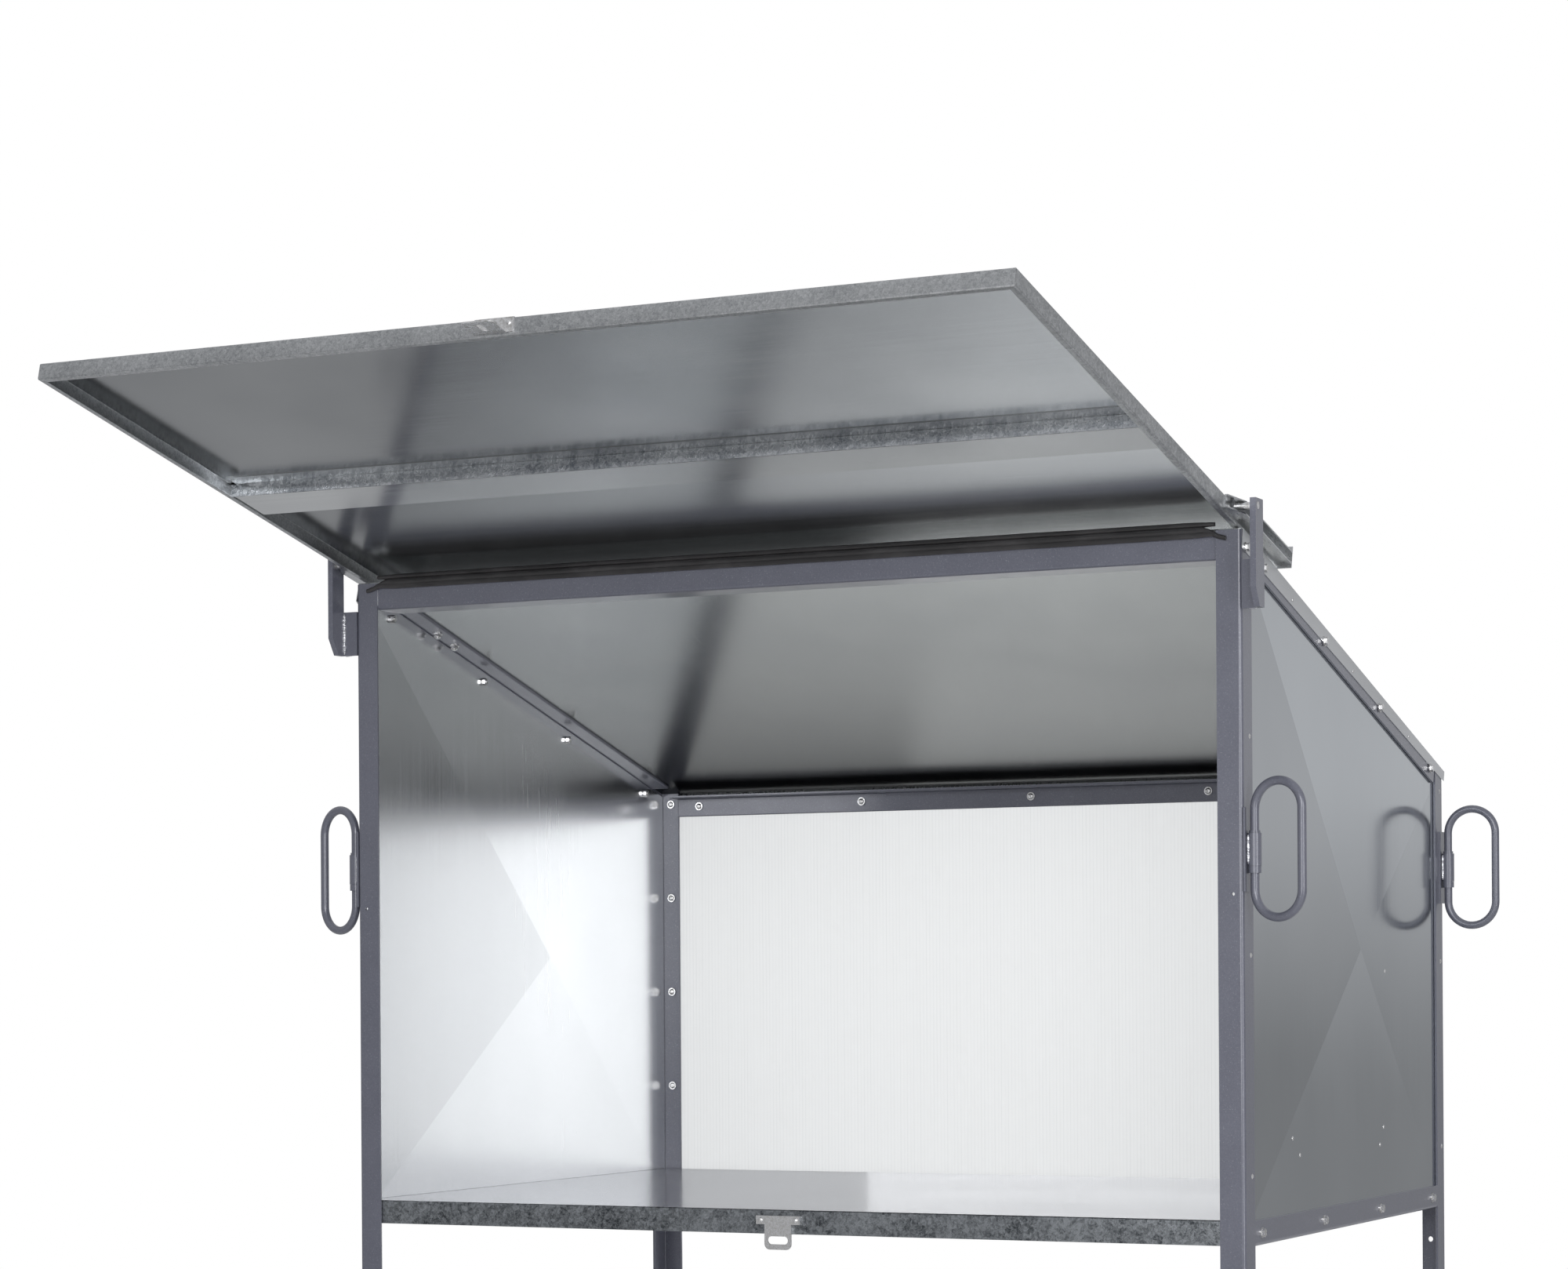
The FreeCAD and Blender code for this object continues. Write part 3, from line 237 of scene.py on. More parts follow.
    def finish(self, shader: bpy.types.Node) -> bpy.types.Material:
        """Link the shader to the output.

        Args:
            shader: the surface shader node.

        Returns:
            The material.
        """
        self.tree.links.new(shader.outputs[0], self.output.inputs["Surface"])
        return self.material


class Grain(Enum):
    """Direction in which sheet metal was rolled."""

    ALONG_X = (0.004, 1.0, 1.0)
    ALONG_Y = (1.0, 0.004, 1.0)
    ALONG_Z = (1.0, 1.0, 0.004)


# ------------------------------------------------------------------ finishes


@dataclass(frozen=True)
class GalvanisedSheet:
    """Bright hot-dipped sheet with fine rolling marks, a soft cloudy zinc skin and, where set, a
    painted gradient of light and shade.

    Attributes:
        name: material name.
        tint: base colour.
        shade: second, darker colour of the zinc's slow variation.
        roughness: mean roughness.
        wave: depth of the slow unevenness in metres.
        grain: rolling direction.
        streak: strength of the rolling marks.
        painted_gradient_axis: axis of a painted gradient of light and shade, which imitates
            reflections and is no part of the zinc.
        painted_gradient_span: where the painted gradient starts and ends on that axis, in metres.
        painted_gradient_level: factor on the base colour at its start and at its end; 1 is no
            painted gradient.
        edge: tint of the sheen at a grazing look.
    """

    name: str = "galvanised_sheet"
    tint: Colour = (0.66, 0.67, 0.68)
    shade: Colour = (0.58, 0.59, 0.605)
    roughness: float = 0.20
    wave: float = 0.0003
    grain: Grain = Grain.ALONG_X
    streak: float = 0.12
    painted_gradient_axis: str = "X"
    painted_gradient_span: Tuple[float, float] = (-1.0, 1.0)
    painted_gradient_level: Tuple[float, float] = (1.0, 1.0)
    edge: Colour = (1.0, 1.0, 1.0)

    def coat(self, n: Nodes) -> Tuple[bpy.types.NodeSocket, bpy.types.NodeSocket,
                                      bpy.types.NodeSocket]:
        """Colour, roughness and relief of the zinc, with the painted gradient of light and shade
        in the colour where one is set.

        Args:
            n: the material being made.

        Returns:
            Colour, roughness and normal sockets.
        """
        rolling = n.cloud(0.0032, 3.0, 0.6, scale=self.grain.value)
        broad = n.cloud(0.024, 3.0, 0.6, scale=self.grain.value)
        patches = n.cloud(0.30, 2.0, 0.5)
        freckle = n.cloud(0.0022, 2.0, 0.6)
        colour = n.blend(n.ramp(patches, 0.35, 0.65), self.shade, self.tint)
        bright = tuple(min(1.0, c * 1.18) for c in self.tint)
        dim = tuple(c * 0.84 for c in self.tint)
        streaked = n.blend(n.ramp(rolling, 0.35, 0.70, 0.0, self.streak), colour, bright)
        streaked = n.blend(n.ramp(broad, 0.40, 0.75, 0.0, self.streak), streaked, dim)
        streaked = n.blend(n.ramp(freckle, 0.56, 0.72, 0.0, 0.10), streaked, dim)
        rough = n.math("ADD", n.ramp(rolling, 0.3, 0.7, -0.02, 0.03),
                       n.ramp(patches, 0.3, 0.7, self.roughness - 0.02, self.roughness + 0.03))
        relief = n.bump(n.cloud(0.45, 0.0, 0.4), self.wave)
        # painted light and shade: the colour is scaled along one axis to imitate reflections, and
        # is no part of the zinc
        if self.painted_gradient_level != (1.0, 1.0):
            place = n.add("SeparateXYZ", Vector=n.place()).outputs[self.painted_gradient_axis]
            painted_gradient_scale = n.add("VectorMath", Vector=streaked)
            painted_gradient_scale.operation = "SCALE"
            n.set(painted_gradient_scale, "Scale", n.ramp(place, *self.painted_gradient_span, *self.painted_gradient_level))
            streaked = painted_gradient_scale.outputs["Vector"]
        return streaked, rough, relief

    def build(self) -> bpy.types.Material:
        """Make the material.

        Returns:
            The new material.
        """
        n = Nodes(self.name)
        colour, rough, relief = self.coat(n)
        return n.finish(n.add("BsdfPrincipled", Base_Color=colour, Metallic=1.0,
                              Roughness=rough, Normal=relief, Specular_Tint=self.edge))


@dataclass(frozen=True)
class CreasedSheet(GalvanisedSheet):
    """Side panel sheet with a painted tone on each facet, which imitates how light falls.

    Attributes:
        middle: height and depth (Y, Z) of the point where the creases cross, in metres.
        rising: slope of the crease that climbs towards the rear.
        falling: slope of the crease that drops towards the rear.
        painted_facet_shades: painted light and shade, a factor on the base colour of the upper,
            rear, lower and front facet.
        painted_falloff: painted shade, the share by which the colour is dimmed from the crossing
            to the far edge; a negative share brightens it.
    """

    middle: Tuple[float, float] = (0.0, 0.0)
    rising: float = 1.0
    falling: float = -1.0
    painted_facet_shades: Tuple[float, float, float, float] = (0.6, 1.0, 1.0, 0.85)
    painted_falloff: float = 0.15

    def build(self) -> bpy.types.Material:
        """Make the material.

        Returns:
            The new material.
        """
        n = Nodes(self.name)
        colour, rough, relief = self.coat(n)
        parts = n.add("SeparateXYZ", Vector=n.place())
        across = n.math("SUBTRACT", parts.outputs["Y"], self.middle[0])
        up = n.math("SUBTRACT", parts.outputs["Z"], self.middle[1])
        over_rising = n.ramp(n.math("SUBTRACT", up, n.math("MULTIPLY", across, self.rising)),
                             -0.0012, 0.0012)
        over_falling = n.ramp(n.math("SUBTRACT", up, n.math("MULTIPLY", across, self.falling)),
                              -0.0012, 0.0012)
        # painted light and shade: each facet's colour gets its own factor, to imitate how light
        # falls on it
        upper, rear, lower, front = self.painted_facet_shades
        high = n.math("ADD", n.math("MULTIPLY", over_falling, upper - front), front)
        low = n.math("ADD", n.math("MULTIPLY", over_falling, rear - lower), lower)
        # above the rising crease lie the upper and front facets, below it the rear and lower
        tone = n.math("ADD", n.math("MULTIPLY", over_rising, n.math("SUBTRACT", high, low)), low)
        # painted shade: the colour is dimmed with distance from the crossing; a negative falloff
        # brightens it instead
        reach = n.math("POWER", n.math("ADD", n.math("POWER", across, 2.0),
                                       n.math("POWER", up, 2.0)), 0.5)
        tone = n.math("MULTIPLY", tone, n.ramp(reach, 0.0, 0.55, 1.0, 1.0 - self.painted_falloff))
        # the zinc's colour times the painted facet factor and falloff
        dark = n.add("VectorMath", Vector=colour)
        dark.operation = "SCALE"
        n.set(dark, "Scale", tone)
        return n.finish(n.add("BsdfPrincipled", Base_Color=dark.outputs["Vector"], Metallic=1.0,
                              Roughness=rough, Normal=relief))


@dataclass(frozen=True)
class SpangledZinc:
    """Folded edges where the zinc's crystals show as a fine dark and light fleck.

    Attributes:
        name: material name.
        light: colour of the bright flecks.
        dark: colour of the dark flecks.
        size: width of a fleck in metres.
        low: roughness of the bright flecks.
        high: roughness of the dull flecks.
        spread: how far light and dark patches drift.
    """

    name: str = "spangled_zinc"
    light: Colour = (0.46, 0.47, 0.48)
    dark: Colour = (0.20, 0.21, 0.22)
    size: float = 0.006
    low: float = 0.30
    high: float = 0.50
    spread: float = 0.25

    def build(self) -> bpy.types.Material:
        """Make the material.

        Returns:
            The new material.
        """
        n = Nodes(self.name)
        crystal = n.add("TexVoronoi", Vector=n.place(), Scale=1.0 / self.size, Randomness=1.0)
        crystal.feature = "F1"
        tone = n.add("SeparateColor", Color=crystal.outputs["Color"])
        fleck = n.cloud(self.size * 0.5, 6.0, 0.75, twist=0.8)
        patch = n.cloud(0.08, 3.0, 0.6)
        share = n.math("ADD", n.ramp(fleck, 0.40, 0.62, 0.0, 0.6),
                       n.math("MULTIPLY", tone.outputs["Red"], 0.4))
        share = n.math("ADD", share, n.ramp(patch, 0.3, 0.7, -self.spread, self.spread))
        colour = n.blend(n.ramp(share, 0.0, 1.0), self.dark, self.light)
        rough = n.ramp(share, 0.0, 1.0, self.high, self.low)
        return n.finish(n.add("BsdfPrincipled", Base_Color=colour, Metallic=1.0,
                              Roughness=rough, Normal=n.bump(fleck, 0.00005)))


@dataclass(frozen=True)
class HammeredPaint:
    """Slate-grey enamel with a very fine orange peel and a soft gloss.

    Attributes:
        name: material name.
        light: colour on the raised cells.
        dark: colour between them.
        peel: width of one cell in metres.
    """

    name: str = "slate_enamel"
    light: Colour = (0.128, 0.133, 0.168)
    dark: Colour = (0.100, 0.104, 0.134)
    peel: float = 0.0022

    def build(self) -> bpy.types.Material:
        """Make the material.

        Returns:
            The new material.
        """
        n = Nodes(self.name)
        cells = n.add("TexVoronoi", Vector=n.place(), Scale=1.0 / self.peel)
        cells.feature = "SMOOTH_F1"
        height = n.ramp(cells.outputs["Distance"], 0.0, 0.8, 1.0, 0.0)
        mottle = n.cloud(0.09, 3.0, 0.6)
        speck = n.cloud(0.0018, 2.0, 0.6)
        share = n.math("ADD", n.ramp(height, 0.2, 0.9, 0.0, 0.5),
                       n.ramp(mottle, 0.3, 0.7, 0.0, 0.5))
        colour = n.blend(share, self.dark, self.light)
        colour = n.blend(n.ramp(speck, 0.62, 0.74, 0.0, 0.5), colour, (0.30, 0.31, 0.35))
        relief = n.bump(height, 0.00006)
        return n.finish(n.add("BsdfPrincipled", Base_Color=colour, Metallic=0.15,
                              Roughness=n.ramp(mottle, 0.3, 0.7, 0.32, 0.40), Normal=relief,
                              Coat_Weight=0.6, Coat_Roughness=0.12))


@dataclass(frozen=True)
class ZincHardware:
    """Bright plated fasteners with a faint yellow passivation in the hollows.

    Attributes:
        name: material name.
        tint: base colour.
        stain: colour of the passivation.
    """

    name: str = "zinc_hardware"
    tint: Colour = (0.74, 0.74, 0.75)
    stain: Colour = (0.42, 0.41, 0.39)

    def build(self) -> bpy.types.Material:
        """Make the material.

        Returns:
            The new material.
        """
        n = Nodes(self.name)
        mottle = n.cloud(0.004, 3.0, 0.6)
        colour = n.blend(n.ramp(mottle, 0.4, 0.75), self.tint, self.stain)
        return n.finish(n.add("BsdfPrincipled", Base_Color=colour, Metallic=1.0,
                              Roughness=n.ramp(mottle, 0.3, 0.7, 0.22, 0.38),
                              Normal=n.bump(mottle, 0.00003)))


@dataclass(frozen=True)
class WeldMetal:
    """Silvery weld metal, rippled and speckled with spatter.

    Attributes:
        name: material name.
        bright: colour of the crests.
        dull: colour of the hollows.
    """

    name: str = "weld_metal"
    bright: Colour = (0.82, 0.83, 0.85)
    dull: Colour = (0.34, 0.34, 0.38)

    def build(self) -> bpy.types.Material:
        """Make the material.

        Returns:
            The new material.
        """
        n = Nodes(self.name)
        crumb = n.cloud(0.0016, 4.0, 0.7)
        colour = n.blend(n.ramp(crumb, 0.40, 0.60), self.dull, self.bright)
        return n.finish(n.add("BsdfPrincipled", Base_Color=colour, Metallic=1.0,
                              Roughness=n.ramp(crumb, 0.35, 0.65, 0.45, 0.25),
                              Normal=n.bump(crumb, 0.0004)))


@dataclass(frozen=True)
class SealRubber:
    """Smooth black rubber, slightly dusty.

    Attributes:
        name: material name.
        tint: base colour.
        dust: colour of the dusty patches.
    """

    name: str = "seal_rubber"
    tint: Colour = (0.016, 0.015, 0.016)
    dust: Colour = (0.045, 0.042, 0.044)

    def build(self) -> bpy.types.Material:
        """Make the material.

        Returns:
            The new material.
        """
        n = Nodes(self.name)
        dusty = n.cloud(0.03, 4.0, 0.6, scale=(0.3, 1.0, 1.0))
        colour = n.blend(n.ramp(dusty, 0.45, 0.75), self.tint, self.dust)
        return n.finish(n.add("BsdfPrincipled", Base_Color=colour,
                              Roughness=n.ramp(dusty, 0.3, 0.7, 0.30, 0.48),
                              Normal=n.bump(n.cloud(0.0015, 3.0, 0.6), 0.00003)))


@dataclass(frozen=True)
class MilkyPolycarbonate:
    """White twin-wall sheet that lets light through, with its upright webs just showing.

    Attributes:
        name: material name.
        tint: colour between the webs.
        web: colour where a web stands behind the skin.
        pitch: distance between webs in metres.
        clear: share of light that passes straight through.
    """

    name: str = "milky_polycarbonate"
    tint: Colour = (0.93, 0.935, 0.935)
    web: Colour = (0.80, 0.81, 0.815)
    pitch: float = 0.006
    clear: float = 0.45

    def build(self) -> bpy.types.Material:
        """Make the material.

        Returns:
            The new material.
        """
        n = Nodes(self.name)
        parts = n.add("SeparateXYZ", Vector=n.place())
        step = n.math("FRACT", n.math("DIVIDE", parts.outputs["X"], self.pitch))
        near = n.math("ABSOLUTE", n.math("SUBTRACT", step, 0.5))
        web = n.ramp(near, 0.0, 0.16, 1.0, 0.0)
        haze = n.cloud(0.006, 3.0, 0.6, scale=(1.0, 1.0, 0.02))
        share = n.math("MULTIPLY", web, n.ramp(haze, 0.35, 0.65, 0.25, 1.0))
        colour = n.blend(share, self.tint, self.web)
        skin = n.add("BsdfPrincipled", Base_Color=colour, Roughness=0.30,
                     Normal=n.bump(haze, 0.00005))
        glow = n.add("BsdfTranslucent", Color=colour)
        pass_through = n.add("BsdfTransparent", Color=(0.985, 0.99, 0.99))
        body = n.add("MixShader", Fac=0.5)
        n.tree.links.new(skin.outputs[0], body.inputs[1])
        n.tree.links.new(glow.outputs[0], body.inputs[2])
        whole = n.add("MixShader", Fac=self.clear)
        n.tree.links.new(body.outputs[0], whole.inputs[1])
        n.tree.links.new(pass_through.outputs[0], whole.inputs[2])
        return n.finish(whole)


# ------------------------------------------------------------------ pieces


def object_from(mesh: bmesh.types.BMesh, name: str, materials: Sequence[bpy.types.Material],
                smooth: bool = True, normals: bool = True) -> bpy.types.Object:
    """Turn a finished bmesh into a linked object.

    Args:
        mesh: the bmesh, which is freed.
        name: the object's name.
        materials: its materials in slot order.
        smooth: whether faces are shaded smooth, with edges over 35 degrees kept crisp.
        normals: whether the faces are first turned outwards.

    Returns:
        The new object.
    """
    if normals:
        bmesh.ops.recalc_face_normals(mesh, faces=mesh.faces)
    for face in mesh.faces:
        face.smooth = smooth
    if smooth:
        for edge in mesh.edges:
            edge.smooth = len(edge.link_faces) != 2 or edge.calc_face_angle(0.0) < math.radians(35)
    data = bpy.data.meshes.new(name)
    mesh.to_mesh(data)
    mesh.free()
    piece = bpy.data.objects.new(name, data)
    bpy.context.scene.collection.objects.link(piece)
    for material in materials:
        piece.data.materials.append(material)
    return piece


def join_body(piece: bpy.types.Object, body: str, slot: str, *replaced: str) -> None:
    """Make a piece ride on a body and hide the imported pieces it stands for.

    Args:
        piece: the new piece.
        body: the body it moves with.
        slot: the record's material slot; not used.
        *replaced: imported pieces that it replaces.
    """
    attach(piece, body)
    if replaced:
        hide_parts(*replaced)
    LOG.info("built %s: %d faces", piece.name, len(piece.data.polygons))


@dataclass
class Palette:
    """Every finish of the cabinet, built once."""

    # painted shade: the floor's colour darkens towards the right
    floor: bpy.types.Material = field(default_factory=lambda: GalvanisedSheet(
        "floor_zinc_painted_shade", (0.70, 0.705, 0.71), (0.64, 0.645, 0.655), 0.17, painted_gradient_axis="X",
        painted_gradient_span=(-0.2, 0.68), painted_gradient_level=(1.0, 0.66), edge=(0.72, 0.72, 0.74)).build())
    # painted light and shade: the lid's colour is darkened on the left and brightened towards the
    # right
    lid: bpy.types.Material = field(default_factory=lambda: GalvanisedSheet(
        "lid_zinc_painted_light_and_shade", (0.42, 0.432, 0.440), (0.34, 0.353, 0.363), 0.18, painted_gradient_axis="X",
        painted_gradient_span=(-0.2, 0.67), painted_gradient_level=(0.82, 1.50)).build())
    # painted light and shade: the roof's colour is brightened at the front and darkened towards
    # the rear
    roof: bpy.types.Material = field(default_factory=lambda: GalvanisedSheet(
        "roof_zinc_painted_light_and_shade", (0.38, 0.39, 0.385), (0.33, 0.34, 0.34), 0.19,
        grain=Grain.ALONG_Y, painted_gradient_axis="Y", painted_gradient_span=(0.0, 0.85),
        painted_gradient_level=(1.38, 0.26), edge=(0.8, 0.8, 0.8)).build())
    slide: bpy.types.Material = field(default_factory=lambda: GalvanisedSheet(
        "slide_zinc", (0.62, 0.63, 0.64), (0.50, 0.51, 0.52), 0.28,
        grain=Grain.ALONG_Y).build())
    rim: bpy.types.Material = field(default_factory=lambda: SpangledZinc(
        "rim_zinc", (0.56, 0.57, 0.58), (0.27, 0.28, 0.29), 0.004, 0.28, 0.42, 0.15).build())
    flange: bpy.types.Material = field(default_factory=lambda: SpangledZinc(
        "flange_zinc", (0.36, 0.38, 0.40), (0.04, 0.045, 0.05), 0.007, 0.26, 0.5, 0.2).build())
    # painted light and shade: both stiffeners' colour is brightened at the left and darkened from
    # the middle to the right
    rib: bpy.types.Material = field(default_factory=lambda: GalvanisedSheet(
        "rib_zinc_painted_light_and_shade", (0.56, 0.57, 0.575), (0.44, 0.45, 0.455), 0.17, streak=0.25,
        painted_gradient_axis="X", painted_gradient_span=(-0.6, -0.1), painted_gradient_level=(1.25, 0.80)).build())
    rib_face: bpy.types.Material = field(default_factory=lambda: SpangledZinc(
        "rib_face_zinc", (0.95, 0.97, 1.0), (0.24, 0.26, 0.29), 0.0045, 0.22, 0.36,
        0.25).build())
    paint: bpy.types.Material = field(default_factory=lambda: HammeredPaint().build())
    hardware: bpy.types.Material = field(default_factory=lambda: ZincHardware().build())
    weld: bpy.types.Material = field(default_factory=lambda: WeldMetal().build())
    rubber: bpy.types.Material = field(default_factory=lambda: SealRubber().build())
    milky: bpy.types.Material = field(default_factory=lambda: MilkyPolycarbonate().build())


def dress(node: bpy.types.Object, material: bpy.types.Material) -> None:
    """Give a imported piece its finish.

    Args:
        node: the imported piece.
        material: its finish.
    """
    node.data.materials.clear()
    node.data.materials.append(material)


class Side(Enum):
    """The four edges of a folded sheet, as seen from above with the front at the bottom."""

    FRONT = "front"
    REAR = "rear"
    LEFT = "left"
    RIGHT = "right"


@dataclass(frozen=True)
class Rim:
    """One folded edge of a sheet.

    Attributes:
        start: height at the left or front end, in millimetres.
        end: height at the right or rear end, in millimetres.
        lip: how far the edge is turned in again, in millimetres.
    """

    start: float
    end: float
    lip: float = 0.0


@dataclass
class FoldedPan:
    """A sheet-metal pan: a flat skin with rounded folds, rims and turned-in lips.

    Attributes:
        name: the piece's name.
        frame: where the pan's own axes stand, x across, y to the rear and z up out of the skin.
        span: outer planes of the pan: left, right, front and rear, in millimetres.
        wall: sheet thickness in millimetres.
        fold: outer radius of each fold in millimetres.
        rims: the folded edges.
        sag: depth of the skin's slow waviness in millimetres.
    """

    name: str
    frame: Matrix
    span: Tuple[float, float, float, float]
    wall: float
    fold: float
    rims: Dict[Side, Rim]
    sag: float = 0.3

    def outline(self, rim: Rim) -> List[Tuple[float, float]]:
        """Section of a rim: distance in from the outer plane and depth below the skin.

        Args:
            rim: the rim, drawn at its starting height.

        Returns:
            The section's corners in order.
        """
        r, t, h = self.fold, self.wall, rim.start
        bend = [math.radians(90.0 * k / 4) for k in range(5)]
        outer = [(r - r * math.sin(a), r - r * math.cos(a)) for a in bend]
        inner = [(r - (r - t) * math.sin(a), r - (r - t) * math.cos(a)) for a in bend]
        if rim.lip > 0:
            outer += [(r - r * math.cos(a), h - r + r * math.sin(a)) for a in bend]
            inner += [(r - (r - t) * math.cos(a), h - r + (r - t) * math.sin(a)) for a in bend]
            outer.append((rim.lip, h))
            inner.append((rim.lip, h - t))
        else:
            outer.append((0.0, h))
            inner.append((t, h))
        return outer + inner[::-1]

    def place(self, side: Side, along: float, inward: float, depth: float) -> Vector:
        """A point of a rim.

        Args:
            side: which rim.
            along: position along the rim in millimetres.
            inward: distance in from the rim's outer plane.
            depth: depth below the skin's outer face.

        Returns:
            The point in metres, in the model's axes.
        """
        left, right, front, rear = self.span
        if side is Side.FRONT:
            x, y = along, front + inward
        elif side is Side.REAR:
            x, y = along, rear - inward
        elif side is Side.LEFT:
            x, y = left + inward, along
        else:
            x, y = right - inward, along
        return self.frame @ Vector((x * MM, y * MM, -depth * MM))

    def add_rim(self, mesh: bmesh.types.BMesh, side: Side, rim: Rim) -> None:
        """Extrude one rim along its edge, with its ends cut to meet the neighbouring rims.

        Args:
            mesh: the pan's bmesh.
            side: which edge.
            rim: its sizes.
        """
        left, right, front, rear = self.span
        across = side in (Side.FRONT, Side.REAR)
        low, high = (left, right) if across else (front, rear)
        before = self.rims.get(Side.LEFT if across else Side.FRONT)
        after = self.rims.get(Side.RIGHT if across else Side.REAR)
        section = self.outline(rim)
        gap = 0.15
        rings: List[List[bmesh.types.BMVert]] = []
        steps = 24
        for k in range(steps + 1):
            share = k / steps
            ring = []
            for inward, depth in section:
                start = low + (inward + gap if before else 0.0)
                end = high - (inward + gap if after else 0.0)
                grow = (rim.end - rim.start) * share if depth > rim.start * 0.5 else 0.0
                ring.append(mesh.verts.new(self.place(
                    side, start + (end - start) * share, inward, depth + grow)))
            rings.append(ring)
        first = mesh.faces.new(rings[0])
        last = mesh.faces.new(rings[-1][::-1])
        first.material_index = last.material_index = 1
        for near, far in zip(rings, rings[1:]):
            edges = [mesh.edges.new((ring[i], ring[(i + 1) % len(ring)]))
                     if mesh.edges.get((ring[i], ring[(i + 1) % len(ring)])) is None
                     else mesh.edges.get((ring[i], ring[(i + 1) % len(ring)]))
                     for ring in (near, far) for i in range(len(ring))]
            made = bmesh.ops.bridge_loops(mesh, edges=edges)
            for face in made["faces"]:
                face.material_index = 1

    def add_skin(self, mesh: bmesh.types.BMesh) -> None:
        """Lay the flat skin between the folds, with its slow waviness.

        Args:
            mesh: the pan's bmesh.
        """
        left, right, front, rear = self.span
        inset = {side: (self.fold if side in self.rims else 0.0) for side in Side}
        x0, x1 = left + inset[Side.LEFT], right - inset[Side.RIGHT]
        y0, y1 = front + inset[Side.FRONT], rear - inset[Side.REAR]
        made = bmesh.ops.create_grid(mesh, x_segments=60, y_segments=44, size=0.5)
        top = made["verts"]
        for vert in top:
            vert.co = Vector((x0 + (vert.co.x + 0.5) * (x1 - x0),
                              y0 + (vert.co.y + 0.5) * (y1 - y0), 0.0))
        faces = [face for face in mesh.faces if all(v in set(top) for v in face.verts)]
        whole = bmesh.ops.extrude_face_region(mesh, geom=faces)
        lower = [v for v in whole["geom"] if isinstance(v, bmesh.types.BMVert)]
        for vert in lower:
            vert.co.z = -self.wall
        for vert in top + lower:
            edge = min(vert.co.x - x0, x1 - vert.co.x, vert.co.y - y0, y1 - vert.co.y)
            soft = min(1.0, max(0.0, edge / 120.0))
            soft = soft * soft * (3 - 2 * soft)
            spot = Vector((vert.co.x * 0.0031, vert.co.y * 0.0026, 3.7 + left * 0.01))
            drop = 0.5 * (1.0 + noise.noise(spot)) * self.sag * soft
            vert.co = self.frame @ Vector((vert.co.x * MM, vert.co.y * MM,
                                           (vert.co.z - drop) * MM))

    def build(self, body: str, slot: str, skin: bpy.types.Material, rim: bpy.types.Material,
              *replaced: str) -> bpy.types.Object:
        """Make the pan.

        Args:
            body: the body it rides on.
            slot: the record's material slot.
            skin: finish of the flat skin.
            rim: finish of the rims.
            *replaced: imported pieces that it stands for.

        Returns:
            The new piece.
        """
        mesh = bmesh.new()
        self.add_skin(mesh)
        for side, sizes in self.rims.items():
            self.add_rim(mesh, side, sizes)
        piece = object_from(mesh, self.name, [skin, rim])
        join_body(piece, body, slot, *replaced)
        return piece


@dataclass
class Layout:
    """Where the cabinet's parts stand, in millimetres, x from the middle, y from the front
    legs' faces and z from the floor tray's top.

    Attributes:
        half_width: half the width over the legs.
        depth: depth over the legs.
        roof_rise: height of the roof over the tray at the front legs' faces.
        roof_slope: fall of the roof to the rear, in degrees.
        pin_rise: height of the hinge pins.
        pin_forward: how far the pins stand in front of the legs.
        pitch: rise of the open lid to the front, in degrees.
    """

    half_width: float = 680.0
    depth: float = 955.0
    roof_rise: float = 907.5
    roof_slope: float = 15.8
    pin_rise: float = 929.5
    pin_forward: float = 19.5
    pitch: float = 13.5
    front: float = field(default_factory=lambda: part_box("front_left_post")[0].y)
    tray: float = field(default_factory=lambda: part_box("floor_tray")[1].z)

    def spot(self, x: float, y: float, z: float) -> Vector:
        """A point in metres from the layout's own millimetres."""
        return Vector((x * MM, self.front + y * MM, self.tray + z * MM))

    def flat(self) -> Matrix:
        """Axes of the floor tray, in metres."""
        return Matrix.Translation(self.spot(0.0, 0.0, 0.0))

    def lid(self) -> Matrix:
        """Axes of the lid, with their origin on the hinge pins, in metres."""
        return (Matrix.Translation(self.spot(0.0, -self.pin_forward, self.pin_rise))
                @ Matrix.Rotation(math.radians(-self.pitch), 4, "X"))

    def roof(self) -> Matrix:
        """Axes of the roof, with their origin over the front legs' faces, in metres."""
        return (Matrix.Translation(self.spot(0.0, 0.0, self.roof_rise))
                @ Matrix.Rotation(math.radians(-self.roof_slope), 4, "X"))


